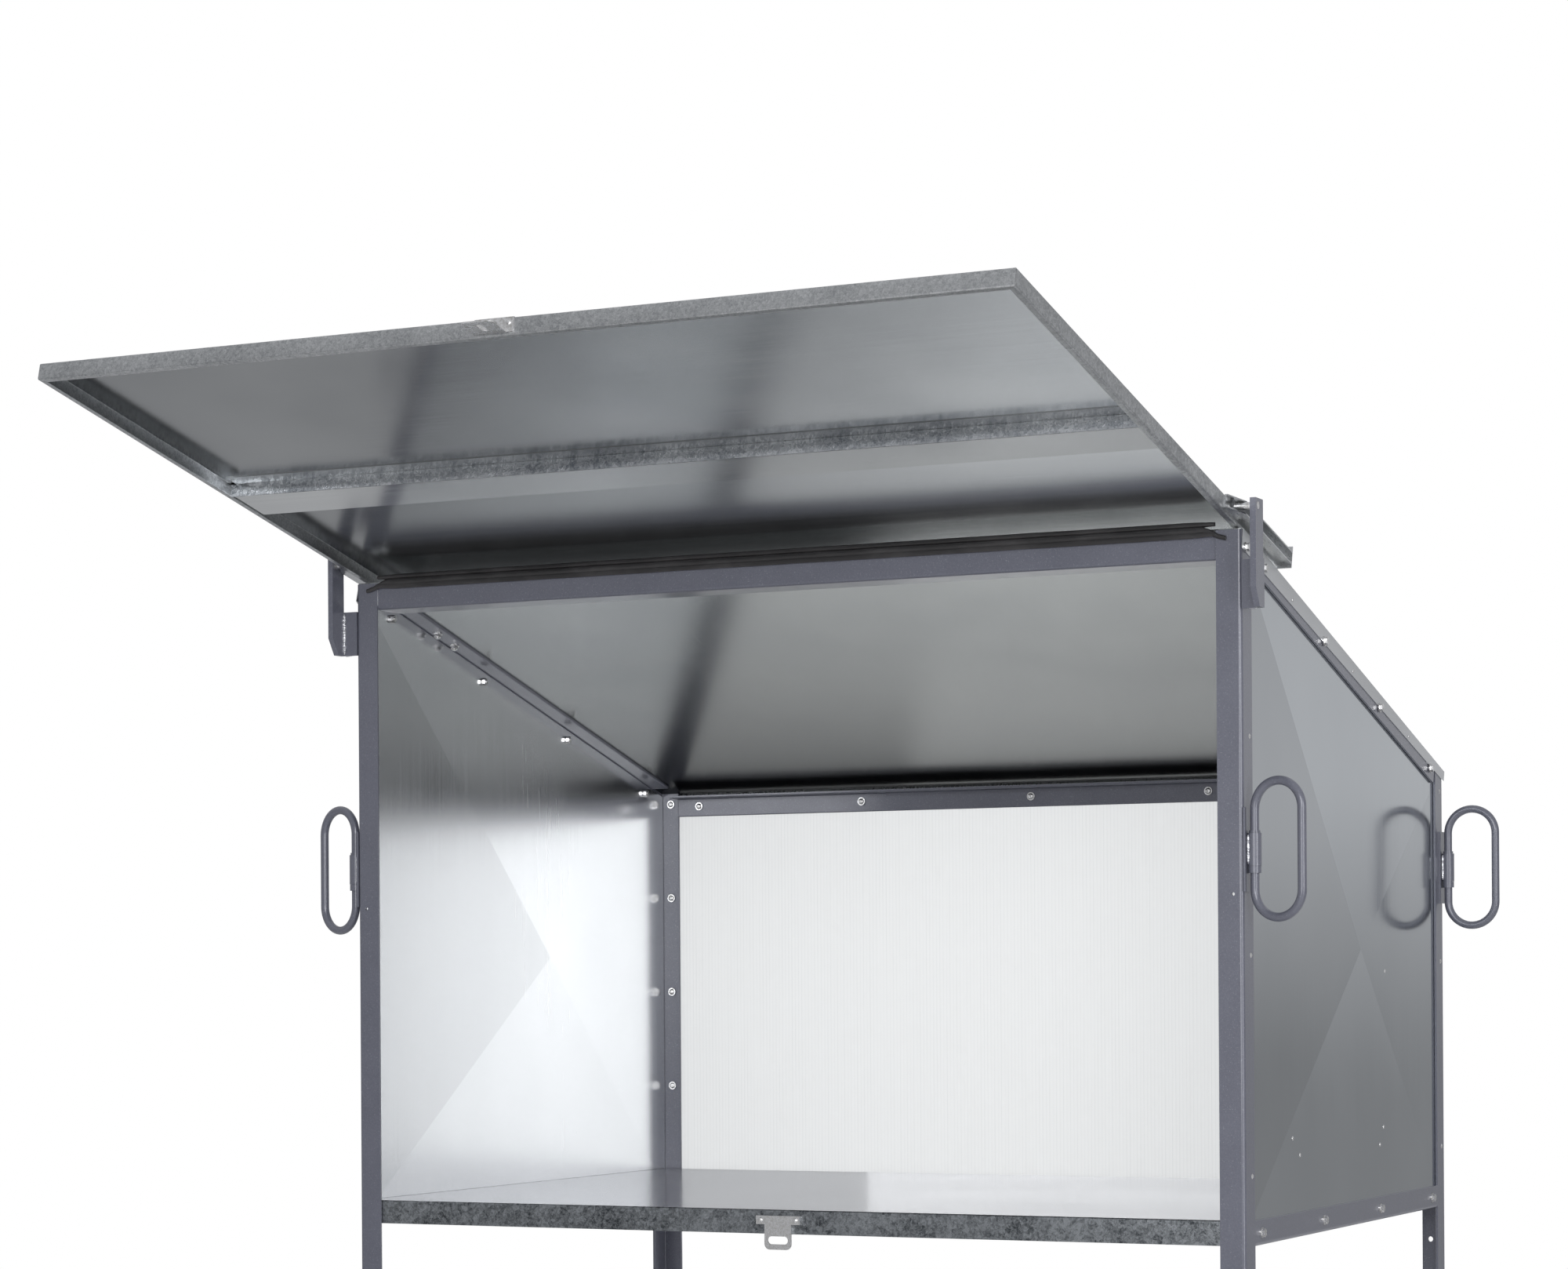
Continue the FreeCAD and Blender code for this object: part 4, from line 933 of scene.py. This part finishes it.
@dataclass
class SheetWork:
    """The lid, the roof and the floor: three folded pans.

    Attributes:
        layout: where they stand.
        palette: their finishes.
    """

    layout: Layout
    palette: Palette

    def rib_face(self) -> None:
        """Lay the thin spangled strip that fronts the lid's stiffener."""
        mesh = bmesh.new()
        made = bmesh.ops.create_cube(mesh, size=1.0)
        for vert in made["verts"]:
            vert.co = Vector((vert.co.x * 1342.0 * MM, (vert.co.y * 0.24 - 321.9) * MM,
                              (vert.co.z * 18.0 - 4.4) * MM))
        long = [e for e in mesh.edges if abs(e.verts[0].co.x - e.verts[1].co.x) > 1.0]
        bmesh.ops.bevel(mesh, geom=long, offset=0.1 * MM, segments=2, profile=0.5,
                        affect="EDGES", material=-1)
        mesh.transform(self.layout.lid())
        join_body(object_from(mesh, "lid_rib_face", [self.palette.rib_face]), "lid",
                  "galvanised_sheet")

    def build(self) -> None:
        """Make the three pans."""
        lid_over_pin, half = 7.3, 673.5
        raised = self.layout.lid() @ Matrix.Translation((0, 0, lid_over_pin * MM))
        lid = FoldedPan("lid_pan", raised,
                        (-half, half, -757.5, 202.5), 1.2, 2.2,
                        {Side.FRONT: Rim(22.7, 22.7, 9.0), Side.LEFT: Rim(22.7, 22.7, 9.0),
                         Side.RIGHT: Rim(22.7, 22.7, 9.0), Side.REAR: Rim(10.0, 10.0)}, 0.35)
        lid.build("lid", "galvanised_sheet", self.palette.lid, self.palette.rim, "lid_tray")
        cosine = math.cos(math.radians(self.layout.roof_slope))
        sine = math.sin(math.radians(self.layout.roof_slope))
        side = Rim(29.0 * cosine, 29.0 * 0.62 * cosine)
        reach = self.layout.half_width + 1.2
        roof = FoldedPan("roof_pan", self.layout.roof(),
                         (-reach, reach, 8.0 / cosine, (966.0 - 7.6 * sine) / cosine), 1.2, 2.2,
                         {Side.LEFT: side, Side.RIGHT: side, Side.REAR: Rim(7.6, 7.6)}, 0.3)
        roof.build("frame", "galvanised_sheet", self.palette.roof, self.palette.slide,
                   "roof_sheet")
        self.rib_face()
        floor = FoldedPan("floor_pan", self.layout.flat(), (-674.8, 674.8, 4.3, 950.7), 1.5, 2.5,
                          {Side.FRONT: Rim(33.5, 33.5), Side.LEFT: Rim(28.0, 28.0),
                           Side.RIGHT: Rim(28.0, 28.0), Side.REAR: Rim(28.0, 28.0)}, 0.25)
        floor.build("frame", "galvanised_sheet", self.palette.floor, self.palette.flange,
                    "floor_tray")


@dataclass
class BeamSeal:
    """Two-lobed rubber seal on the front beam; its lower lobe droops over the leg tops.

    Attributes:
        layout: where it stands.
        half: half the length between the legs, in millimetres.
        foot: height of the beam's top over the tray, in millimetres.
    """

    layout: Layout
    half: float = 644.0
    foot: float = 899.0

    def ring(self, radius: Tuple[float, float], centre: Tuple[float, float]
             ) -> List[Tuple[float, float]]:
        """An oval section.

        Args:
            radius: half width and half height.
            centre: its middle, in y and z.

        Returns:
            Points around it.
        """
        return [(centre[0] + radius[0] * math.cos(math.tau * k / 14),
                 centre[1] + radius[1] * math.sin(math.tau * k / 14)) for k in range(14)]

    def lobe(self, mesh: bmesh.types.BMesh, radius: Tuple[float, float],
             centre: Tuple[float, float], reach: float, fall: float, seed: float) -> None:
        """Sweep one lobe along the beam.

        Args:
            mesh: the seal's bmesh.
            radius: half width and half height of the section.
            centre: the section's middle, in y and z.
            reach: half the lobe's length.
            fall: how far its ends drop.
            seed: shifts the slight waviness.
        """
        rings: List[List[bmesh.types.BMVert]] = []
        steps = 120
        for k in range(steps + 1):
            x = -reach + 2 * reach * k / steps
            past = max(0.0, abs(x) - (reach - 34.0)) / 34.0
            past = past * past * (3 - 2 * past)
            wave = 0.35 * noise.noise(Vector((x * 0.012, seed, 0.0)))
            thin = 1.0 - 0.35 * past
            ring = [mesh.verts.new(self.layout.spot(
                x, centre[0] + (y - centre[0]) * thin - 3.2 * past,
                centre[1] + (z - centre[1]) * thin + wave - fall * past))
                for y, z in self.ring(radius, centre)]
            rings.append(ring)
        mesh.faces.new(rings[0])
        mesh.faces.new(rings[-1][::-1])
        for near, far in zip(rings, rings[1:]):
            for i in range(len(near)):
                j = (i + 1) % len(near)
                mesh.faces.new((near[i], near[j], far[j], far[i]))

    def build(self, rubber: bpy.types.Material) -> None:
        """Make the seal.

        Args:
            rubber: its finish.
        """
        mesh = bmesh.new()
        self.lobe(mesh, (4.6, 4.6), (0.6, self.foot + 4.9), self.half + 16.0, 12.0, 0.4)
        self.lobe(mesh, (4.4, 4.3), (4.6, self.foot + 12.3), self.half - 0.5, 0.0, 2.9)
        self.lobe(mesh, (1.2, 4.2), (-1.2, self.foot - 1.2), self.half - 0.5, 0.0, 5.1)
        join_body(object_from(mesh, "beam_seal_rubber", [rubber]), "frame", "seal_rubber",
                  "beam_seal")


@dataclass
class CreasedPanels:
    """Finishes of the two side sheets, which are folded along their diagonals, with painted light
    and shade on the facets.

    Attributes:
        layout: where they stand.
        wall: sheet thickness in millimetres.
        leg: width of the leg's side in millimetres.
        rail: width of the top rail in millimetres.
        sill: height of the sheet's open part over the tray in millimetres.
    """

    layout: Layout
    wall: float = 1.2
    leg: float = 40.0
    rail: float = 35.0
    sill: float = 0.3

    def crossing(self) -> Tuple[float, float, float, float]:
        """Where the two creases cross, and their slopes.

        Returns:
            The crossing (y, z) in millimetres, the rising slope and the falling slope.
        """
        slope = math.radians(self.layout.roof_slope)
        front, rear = self.leg, self.layout.depth - self.leg
        high_front, high_rear = [
            self.layout.roof_rise - y * math.tan(slope) - (self.rail + self.wall) / math.cos(slope)
            for y in (front, rear)]
        rising = (high_rear - self.sill) / (rear - front)
        falling = (self.sill - high_front) / (rear - front)
        along = (high_front - self.sill) / (rising - falling)
        return front + along, self.sill + rising * along, rising, falling

    def finish(self, name: str, tint: Colour, shade: Colour, roughness: float,
               painted_facet_shades: Tuple[float, float, float, float], painted_falloff: float) -> bpy.types.Material:
        """Finish of one sheet.

        Args:
            name: material name.
            tint: base colour.
            shade: darker colour of its slow variation.
            roughness: mean roughness.
            painted_facet_shades: painted light and shade, a factor on the base colour of the
                upper, rear, lower and front facet.
            painted_falloff: painted shade, the share by which the colour is dimmed away from the
                crossing.

        Returns:
            The material.
        """
        y, z, rising, falling = self.crossing()
        spot = self.layout.spot(0.0, y, z)
        return CreasedSheet(name, tint, shade, roughness, grain=Grain.ALONG_Z, streak=0.06,
                            middle=(spot.y, spot.z), rising=rising, falling=falling,
                            painted_facet_shades=painted_facet_shades, painted_falloff=painted_falloff).build()

    def build(self, nodes: Dict[str, bpy.types.Object]) -> None:
        """Give both sheets their finish.

        Args:
            nodes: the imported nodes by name.
        """
        # painted light and shade: the left sheet's tint is far lighter than the right sheet's, and
        # each facet has its own factor
        dress(nodes["left_side_panel"],
              self.finish("left_panel_zinc_painted_light_and_shade", (0.90, 0.915, 0.94), (0.85, 0.865, 0.89), 0.22,
                          (1.0, 1.0, 0.97, 0.86), 0.14))
        dress(nodes["right_side_panel"],
              self.finish("right_panel_zinc_painted_light_and_shade", (0.49, 0.515, 0.535), (0.455, 0.48, 0.50), 0.11,
                          (1.03, 0.93, 0.92, 0.82), -0.05))


@dataclass
class RibbedBack:
    """Twin-wall sheet behind the rear legs, with a faint flute over each upright cell.

    Attributes:
        pitch: width of one cell in metres.
        flute: depth of the flute between two webs in metres.
    """

    pitch: float = 0.006
    flute: float = 0.00012

    def build(self, milky: bpy.types.Material) -> None:
        """Make the sheet.

        Args:
            milky: its finish.
        """
        low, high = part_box("rear_panel")
        cells = int((high.x - low.x) / self.pitch)
        mesh = bmesh.new()
        made = bmesh.ops.create_grid(mesh, x_segments=cells * 4, y_segments=1, size=0.5)
        faces = list(mesh.faces)
        front = list(made["verts"])
        whole = bmesh.ops.extrude_face_region(mesh, geom=faces)
        back = [v for v in whole["geom"] if isinstance(v, bmesh.types.BMVert)]
        for skin, verts in ((low.y, front), (high.y, back)):
            for vert in verts:
                x = low.x + (vert.co.x + 0.5) * (high.x - low.x)
                z = low.z + (vert.co.y + 0.5) * (high.z - low.z)
                dip = self.flute * (0.5 - 0.5 * math.cos(math.tau * x / self.pitch))
                inward = dip if skin == low.y else -dip
                vert.co = Vector((x, skin + inward, z))
        join_body(object_from(mesh, "ribbed_back", [milky]), "frame", "twin_wall_panel",
                  "rear_panel")


def separate_boxes(node: bpy.types.Object) -> List[Tuple[Vector, Vector]]:
    """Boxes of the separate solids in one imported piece.

    Args:
        node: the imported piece.

    Returns:
        Lowest and highest corner of each solid, in metres.
    """
    mesh = bmesh.new()
    mesh.from_mesh(node.data)
    bmesh.ops.remove_doubles(mesh, verts=mesh.verts, dist=1e-6)
    boxes, seen = [], set()
    for start in mesh.verts:
        if start in seen:
            continue
        group, queue = [], [start]
        seen.add(start)
        while queue:
            vert = queue.pop()
            group.append(vert.co.copy())
            for edge in vert.link_edges:
                other = edge.other_vert(vert)
                if other not in seen:
                    seen.add(other)
                    queue.append(other)
        boxes.append((Vector([min(c[i] for c in group) for i in range(3)]),
                      Vector([max(c[i] for c in group) for i in range(3)])))
    mesh.free()
    return boxes


@dataclass
class CrossHeadScrews:
    """Pan-head screws with a cross recess, which hold the back sheet.

    Attributes:
        head: head diameter in metres.
        rise: head height in metres.
        washer: washer diameter in metres.
        recess: length of one arm of the cross in metres.
        slot: width of an arm in metres.
    """

    head: float = 0.0098
    rise: float = 0.0030
    washer: float = 0.0135
    recess: float = 0.0056
    slot: float = 0.0012

    def pattern(self) -> bpy.types.Mesh:
        """One screw head facing the front, with its seat at the origin.

        Returns:
            The mesh.
        """
        mesh = bmesh.new()
        r, h, w = self.head / 2, self.rise, self.washer / 2
        outline = [(0.0, h), (r * 0.45, h * 0.97), (r * 0.75, h * 0.82), (r * 0.93, h * 0.55),
                   (r, h * 0.26), (r, 0.0007), (w, 0.0007), (w, 0.0), (0.0, 0.0)]
        verts = [mesh.verts.new((x, -y, 0.0)) for x, y in outline]
        edges = [mesh.edges.new(pair) for pair in zip(verts, verts[1:])]
        bmesh.ops.spin(mesh, geom=verts + edges, cent=(0, 0, 0), axis=(0, 1, 0),
                       angle=math.tau, steps=24, use_merge=True)
        bmesh.ops.remove_doubles(mesh, verts=mesh.verts, dist=1e-7)
        head = object_from(mesh, "screw_pattern", [])
        cutter = bmesh.new()
        for turn in (0.0, 90.0):
            made = bmesh.ops.create_cube(cutter, size=1.0)
            spin = Matrix.Rotation(math.radians(turn + 20.0), 4, "Y")
            for vert in made["verts"]:
                vert.co = spin @ Vector((vert.co.x * self.recess, vert.co.y * h * 1.3 - h,
                                         vert.co.z * self.slot))
        tool = object_from(cutter, "screw_recess", [], False)
        cut = head.modifiers.new("recess", "BOOLEAN")
        cut.operation, cut.solver, cut.object = "DIFFERENCE", "EXACT", tool
        cut.use_self = True
        whole = bpy.data.meshes.new_from_object(
            head.evaluated_get(bpy.context.evaluated_depsgraph_get()))
        bpy.data.objects.remove(head)
        bpy.data.objects.remove(tool)
        return whole

    def build(self, node: bpy.types.Object, hardware: bpy.types.Material) -> None:
        """Put a screw where each packed one stands.

        Args:
            node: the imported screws.
            hardware: their finish.
        """
        pattern = self.pattern()
        mesh = bmesh.new()
        for index, (low, high) in enumerate(sorted(separate_boxes(node), key=lambda b: b[0][:])):
            seat = low.y + 0.0026
            turned = pattern.copy()
            turned.transform(Matrix.Translation(((low.x + high.x) / 2, seat, (low.z + high.z) / 2))
                             @ Matrix.Rotation(index * 1.1, 4, "Y"))
            mesh.from_mesh(turned)
            bpy.data.meshes.remove(turned)
            ring = bmesh.ops.create_cone(mesh, cap_ends=True, segments=14, radius1=0.0024,
                                         radius2=0.0024, depth=high.y - seat)
            for vert in ring["verts"]:
                vert.co = Vector(((low.x + high.x) / 2 + vert.co.x,
                                  (seat + high.y) / 2 + vert.co.z,
                                  (low.z + high.z) / 2 + vert.co.y))
        join_body(object_from(mesh, "back_screws", [hardware], normals=False), "frame",
                  "zinc_hardware", node.name)
        bpy.data.meshes.remove(pattern)


@dataclass
class WeldBeads:
    """Rippled weld beads on the hinge ears and the lifting loops' sleeves.

    Attributes:
        layout: where they stand.
        ripple: distance between two ripples in millimetres.
    """

    layout: Layout
    ripple: float = 2.6

    def bead(self, mesh: bmesh.types.BMesh, start: Point, end: Point, width: float,
             seed: float) -> None:
        """Run one bead between two points.

        Args:
            mesh: the bmesh.
            start: first end in the layout's millimetres.
            end: other end.
            width: mean width in millimetres.
            seed: shifts the unevenness.
        """
        first, last = Vector(start), Vector(end)
        along = last - first
        steps = max(8, int(along.length / self.ripple) * 4)
        side = along.normalized().orthogonal().normalized()
        other = along.normalized().cross(side)
        rings: List[List[bmesh.types.BMVert]] = []
        for k in range(steps + 1):
            share = k / steps
            ripple = abs(math.sin(math.pi * share * along.length / self.ripple))
            swell = 0.86 + 0.14 * ripple + 0.22 * noise.noise(Vector((share * 9, seed, 0)))
            taper = min(1.0, 8.0 * min(share, 1 - share) + 0.35)
            radius = width / 2 * swell * taper
            ring = []
            for i in range(10):
                angle = math.tau * i / 10
                lump = 1.0 + 0.14 * noise.noise(Vector((share * 40, seed + i, 1.0)))
                spot = (first + along * share
                        + (side * math.cos(angle) + other * math.sin(angle)) * radius * lump)
                ring.append(mesh.verts.new(self.layout.spot(*spot)))
            rings.append(ring)
        mesh.faces.new(rings[0])
        mesh.faces.new(rings[-1][::-1])
        for near, far in zip(rings, rings[1:]):
            for i in range(10):
                j = (i + 1) % 10
                mesh.faces.new((near[i], near[j], far[j], far[i]))

    def build(self, weld: bpy.types.Material) -> None:
        """Make every bead.

        Args:
            weld: their finish.
        """
        mesh = bmesh.new()
        half, depth = self.layout.half_width, self.layout.depth
        for side in (-1.0, 1.0):
            lug = side * (half + 22.0)
            self.bead(mesh, (lug - side * 0.6, -0.6, 801.0), (lug - side * 0.6, -0.6, 861.0),
                      6.4, 3.0 * side)
            self.bead(mesh, (side * (half + 1.0), 2.0, 801.0), (side * (half + 21.0), 2.0, 799.2),
                      3.6, 5.0 * side)
            for sleeve in (12.0, depth - 12.0):
                for edge in (-7.0, 7.0):
                    self.bead(mesh, (side * (half + 5.2), sleeve + edge, 466.0),
                              (side * (half + 5.2), sleeve + edge, 504.0), 4.6,
                              sleeve * 0.1 + edge)
        for end in (-1.0, 1.0):
            self.bead(mesh, (end * (half - 35.2), 3.0, 868.0), (end * (half - 35.2), 3.0, 896.0),
                      2.4, 8.0 * end)
        join_body(object_from(mesh, "weld_beads", [weld], normals=True), "frame",
                  "painted_frame")


@dataclass
class SheetRivets:
    """Small dome rivets in the outer face of the right side sheet and the roof's edges.

    Attributes:
        layout: where they stand.
        radius: of a rivet's head in millimetres.
        rise: height of the head in millimetres.
        spots: distance behind the front and height over the tray of each, in millimetres.
        roof_stations: distances behind the front of those in the roof's edges, in millimetres.
        roof_drop: how far those sit below the roof's line, in millimetres.
        roof_creep: how much less they drop for each millimetre back.
        roof_out: how far their feet stand out from the frame's side, in millimetres.
    """

    layout: Layout
    radius: float = 3.0
    rise: float = 1.3
    spots: Sequence[Tuple[float, float]] = ((217.0, 99.0), (248.0, 75.0), (627.0, 73.0),
                                            (647.0, 98.0), (665.0, 326.0))
    roof_stations: Sequence[float] = (212.0, 489.0, 769.0)
    roof_drop: float = 20.0
    roof_creep: float = 0.009
    roof_out: float = 1.15

    def dome(self, mesh: bmesh.types.BMesh, seat: Vector, out: Vector) -> None:
        """Add one head.

        Args:
            mesh: the bmesh.
            seat: middle of its foot in metres.
            out: direction it points.
        """
        made = bmesh.ops.create_uvsphere(mesh, u_segments=14, v_segments=8, radius=1.0)
        turn = out.to_track_quat("Z", "Y").to_matrix().to_4x4()
        for vert in made["verts"]:
            flat = Vector((vert.co.x * self.radius * MM, vert.co.y * self.radius * MM,
                           max(vert.co.z, -0.25) * self.rise * MM))
            vert.co = Matrix.Translation(seat) @ turn @ flat

    def build(self, panel: bpy.types.Object, hardware: bpy.types.Material) -> None:
        """Set each rivet on the sheet.

        Args:
            panel: the right side sheet.
            hardware: their finish.
        """
        mesh = bmesh.new()
        for y, z in self.spots:
            start = self.layout.spot(1000.0, y, z)
            hit, seat, out, _ = panel.ray_cast(start, Vector((-1.0, 0.0, 0.0)))
            if hit:
                self.dome(mesh, seat, out)
        fall = math.tan(math.radians(self.layout.roof_slope))
        for side in (-1.0, 1.0):
            for y in self.roof_stations:
                z = self.layout.roof_rise - y * fall - self.roof_drop + y * self.roof_creep
                seat = self.layout.spot(side * (self.layout.half_width + self.roof_out), y, z)
                self.dome(mesh, seat, Vector((side, 0.0, 0.0)))
        join_body(object_from(mesh, "sheet_rivets", [hardware]), "frame", "zinc_hardware")


@dataclass
class PackedPieces:
    """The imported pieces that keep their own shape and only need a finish."""

    palette: Palette

    def finish_for(self, name: str) -> bpy.types.Material:
        """Choose a finish by the piece's job.

        Args:
            name: the piece's name.

        Returns:
            The material.
        """
        p = self.palette
        if name in ("lid_stiffener", "floor_stiffener"):
            return p.rib
        if name in ("roof_sheet", "floor_tray", "lid_tray", "left_side_panel",
                    "right_side_panel"):
            return p.rim
        if name.startswith(("lid_slide", "slide_stop")):
            return p.slide
        if name == "rear_panel":
            return p.milky
        if name == "beam_seal":
            return p.rubber
        if any(word in name for word in ("bolt", "nut", "screw", "rivet", "pin_", "hasp")):
            return p.hardware
        return p.paint

    def build(self, nodes: Dict[str, bpy.types.Object]) -> None:
        """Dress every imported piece.

        Args:
            nodes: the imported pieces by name.
        """
        for name, node in sorted(nodes.items()):
            dress(node, self.finish_for(name))
            LOG.info("dressed %s", name)


# ------------------------------------------------------------------ studio


@dataclass
class Studio:
    """Pale floor, soft lights, even white surround and the camera.

    Attributes:
        camera_place: camera position, measured from the middle of the front legs' faces at
            floor-tray height.
        camera_turn: how far the camera looks to the left of straight on, in degrees.
        camera_roll: tilt of the camera about its own axis, in degrees.
        lens: focal length in millimetres on a 36 mm wide sensor.
        rise: upward shift of the lens as a share of the sensor's width.
    """

    camera_place: Point = (2.2019, -4.5147, 0.3166)
    camera_turn: float = 25.863
    camera_roll: float = 0.369
    lens: float = 83.2
    rise: float = 0.2212
    backdrop: Colour = (1.0, 1.0, 1.0)

    def floor(self) -> None:
        """Lay a round pale floor."""
        mesh = bmesh.new()
        bmesh.ops.create_circle(mesh, cap_ends=True, segments=96, radius=6.5)
        n = Nodes("pale_floor")
        shade = n.blend(n.cloud(0.8, 3.0, 0.5), (0.70, 0.70, 0.70), (0.76, 0.76, 0.76))
        material = n.finish(n.add("BsdfPrincipled", Base_Color=shade, Roughness=0.75))
        floor = object_from(mesh, "studio_floor", [material], False)

    def soft_light(self, name: str, place: Point, aim: Point, size: Tuple[float, float],
                   watts: float, colour: Colour = (1.0, 1.0, 1.0)) -> None:
        """Hang one rectangular soft light.

        Args:
            name: light's name.
            place: where it hangs.
            aim: the point it faces.
            size: width and height.
            watts: power.
            colour: light colour.
        """
        data = bpy.data.lights.new(name, "AREA")
        data.shape = "RECTANGLE"
        data.size, data.size_y = size
        data.energy = watts
        data.color = colour
        lamp = bpy.data.objects.new(name, data)
        bpy.context.scene.collection.objects.link(lamp)
        lamp.location = place
        lamp.rotation_euler = (Vector(aim) - Vector(place)).to_track_quat("-Z", "Y").to_euler()
        lamp.visible_camera = False

    def surround(self) -> None:
        """White surround that lights the cabinet softly, dimmer from below."""
        world = bpy.data.worlds.new("studio")
        bpy.context.scene.world = world
        world.use_nodes = True
        tree = world.node_tree
        tree.nodes.clear()
        output = tree.nodes.new("ShaderNodeOutputWorld")
        seen = tree.nodes.new("ShaderNodeBackground")
        seen.inputs["Color"].default_value = (*self.backdrop, 1.0)
        lit = tree.nodes.new("ShaderNodeBackground")
        coordinates = tree.nodes.new("ShaderNodeTexCoord")
        parts = tree.nodes.new("ShaderNodeSeparateXYZ")
        ramp = tree.nodes.new("ShaderNodeValToRGB")
        steps = ((0.0, 0.24), (0.49, 0.33), (0.522, 0.66), (0.60, 0.46), (1.0, 0.72))
        ramp.color_ramp.elements[0].position = 0.0
        ramp.color_ramp.elements[1].position = 1.0
        for place, _ in steps[1:-1]:
            ramp.color_ramp.elements.new(place)
        for element, (_, level) in zip(ramp.color_ramp.elements, steps):
            element.color = (level, level * 1.01, level * 1.035, 1.0)
        shift = tree.nodes.new("ShaderNodeMapRange")
        shift.inputs["From Min"].default_value = -1.0
        shift.inputs["From Max"].default_value = 1.0
        path = tree.nodes.new("ShaderNodeLightPath")
        mix = tree.nodes.new("ShaderNodeMixShader")
        links = tree.links
        links.new(coordinates.outputs["Generated"], parts.inputs[0])
        links.new(parts.outputs["Z"], shift.inputs["Value"])
        links.new(shift.outputs["Result"], ramp.inputs["Fac"])
        links.new(ramp.outputs["Color"], lit.inputs["Color"])
        links.new(path.outputs["Is Camera Ray"], mix.inputs[0])
        links.new(lit.outputs[0], mix.inputs[1])
        links.new(seen.outputs[0], mix.inputs[2])
        links.new(mix.outputs[0], output.inputs["Surface"])

    def camera(self, front: Vector) -> None:
        """Set up the camera.

        Args:
            front: the middle of the front legs' faces at floor-tray height.
        """
        data = bpy.data.cameras.new("camera")
        data.lens = self.lens
        data.sensor_width = 36.0
        data.shift_y = self.rise
        camera = bpy.data.objects.new("camera", data)
        bpy.context.scene.collection.objects.link(camera)
        upright = Matrix.Rotation(math.radians(90.0), 4, "X")
        aim = Matrix.Rotation(math.radians(self.camera_turn), 4, "Z")
        roll = Matrix.Rotation(math.radians(-self.camera_roll), 4, "Z")
        camera.matrix_world = (Matrix.Translation(front + Vector(self.camera_place))
                               @ aim @ upright @ roll)
        bpy.context.scene.camera = camera

    def build(self, front: Vector) -> None:
        """Build the whole studio.

        Args:
            front: the middle of the front legs' faces at floor-tray height.
        """
        self.floor()
        self.surround()
        self.soft_light("key", (2.2, -4.4, 2.6), (0.0, 0.2, 1.2), (2.2, 1.6), 75.0)
        self.soft_light("fill", (0.7, -2.8, 1.2), (-0.5, 0.9, 1.15), (1.2, 0.8), 12.0)
        self.soft_light("strip", (4.6, -2.6, 1.5), (0.5, 0.0, 1.3), (0.9, 2.6), 60.0)
        self.soft_light("back", (-0.05, 1.75, 1.15), (-0.05, 0.9, 1.15), (1.3, 1.1), 10.0)
        self.camera(front)
        bpy.context.scene.view_settings.view_transform = "Standard"
        LOG.info("studio ready")


# ------------------------------------------------------------------ whole cabinet


def main() -> None:
    """Build the cabinet and its studio."""
    logging.basicConfig(level=logging.INFO, format="%(name)s: %(message)s")
    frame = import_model()
    palette = Palette()
    layout = Layout()
    PackedPieces(palette).build(frame["nodes"])
    SheetWork(layout, palette).build()
    CreasedPanels(layout).build(frame["nodes"])
    BeamSeal(layout).build(palette.rubber)
    RibbedBack().build(palette.milky)
    CrossHeadScrews().build(frame["nodes"]["rear_panel_screws"], palette.hardware)
    WeldBeads(layout).build(palette.weld)
    SheetRivets(layout).build(frame["nodes"]["right_side_panel"], palette.hardware)
    Studio().build(layout.spot(0.0, 0.0, 0.0))


if __name__ == "__main__":
    main()
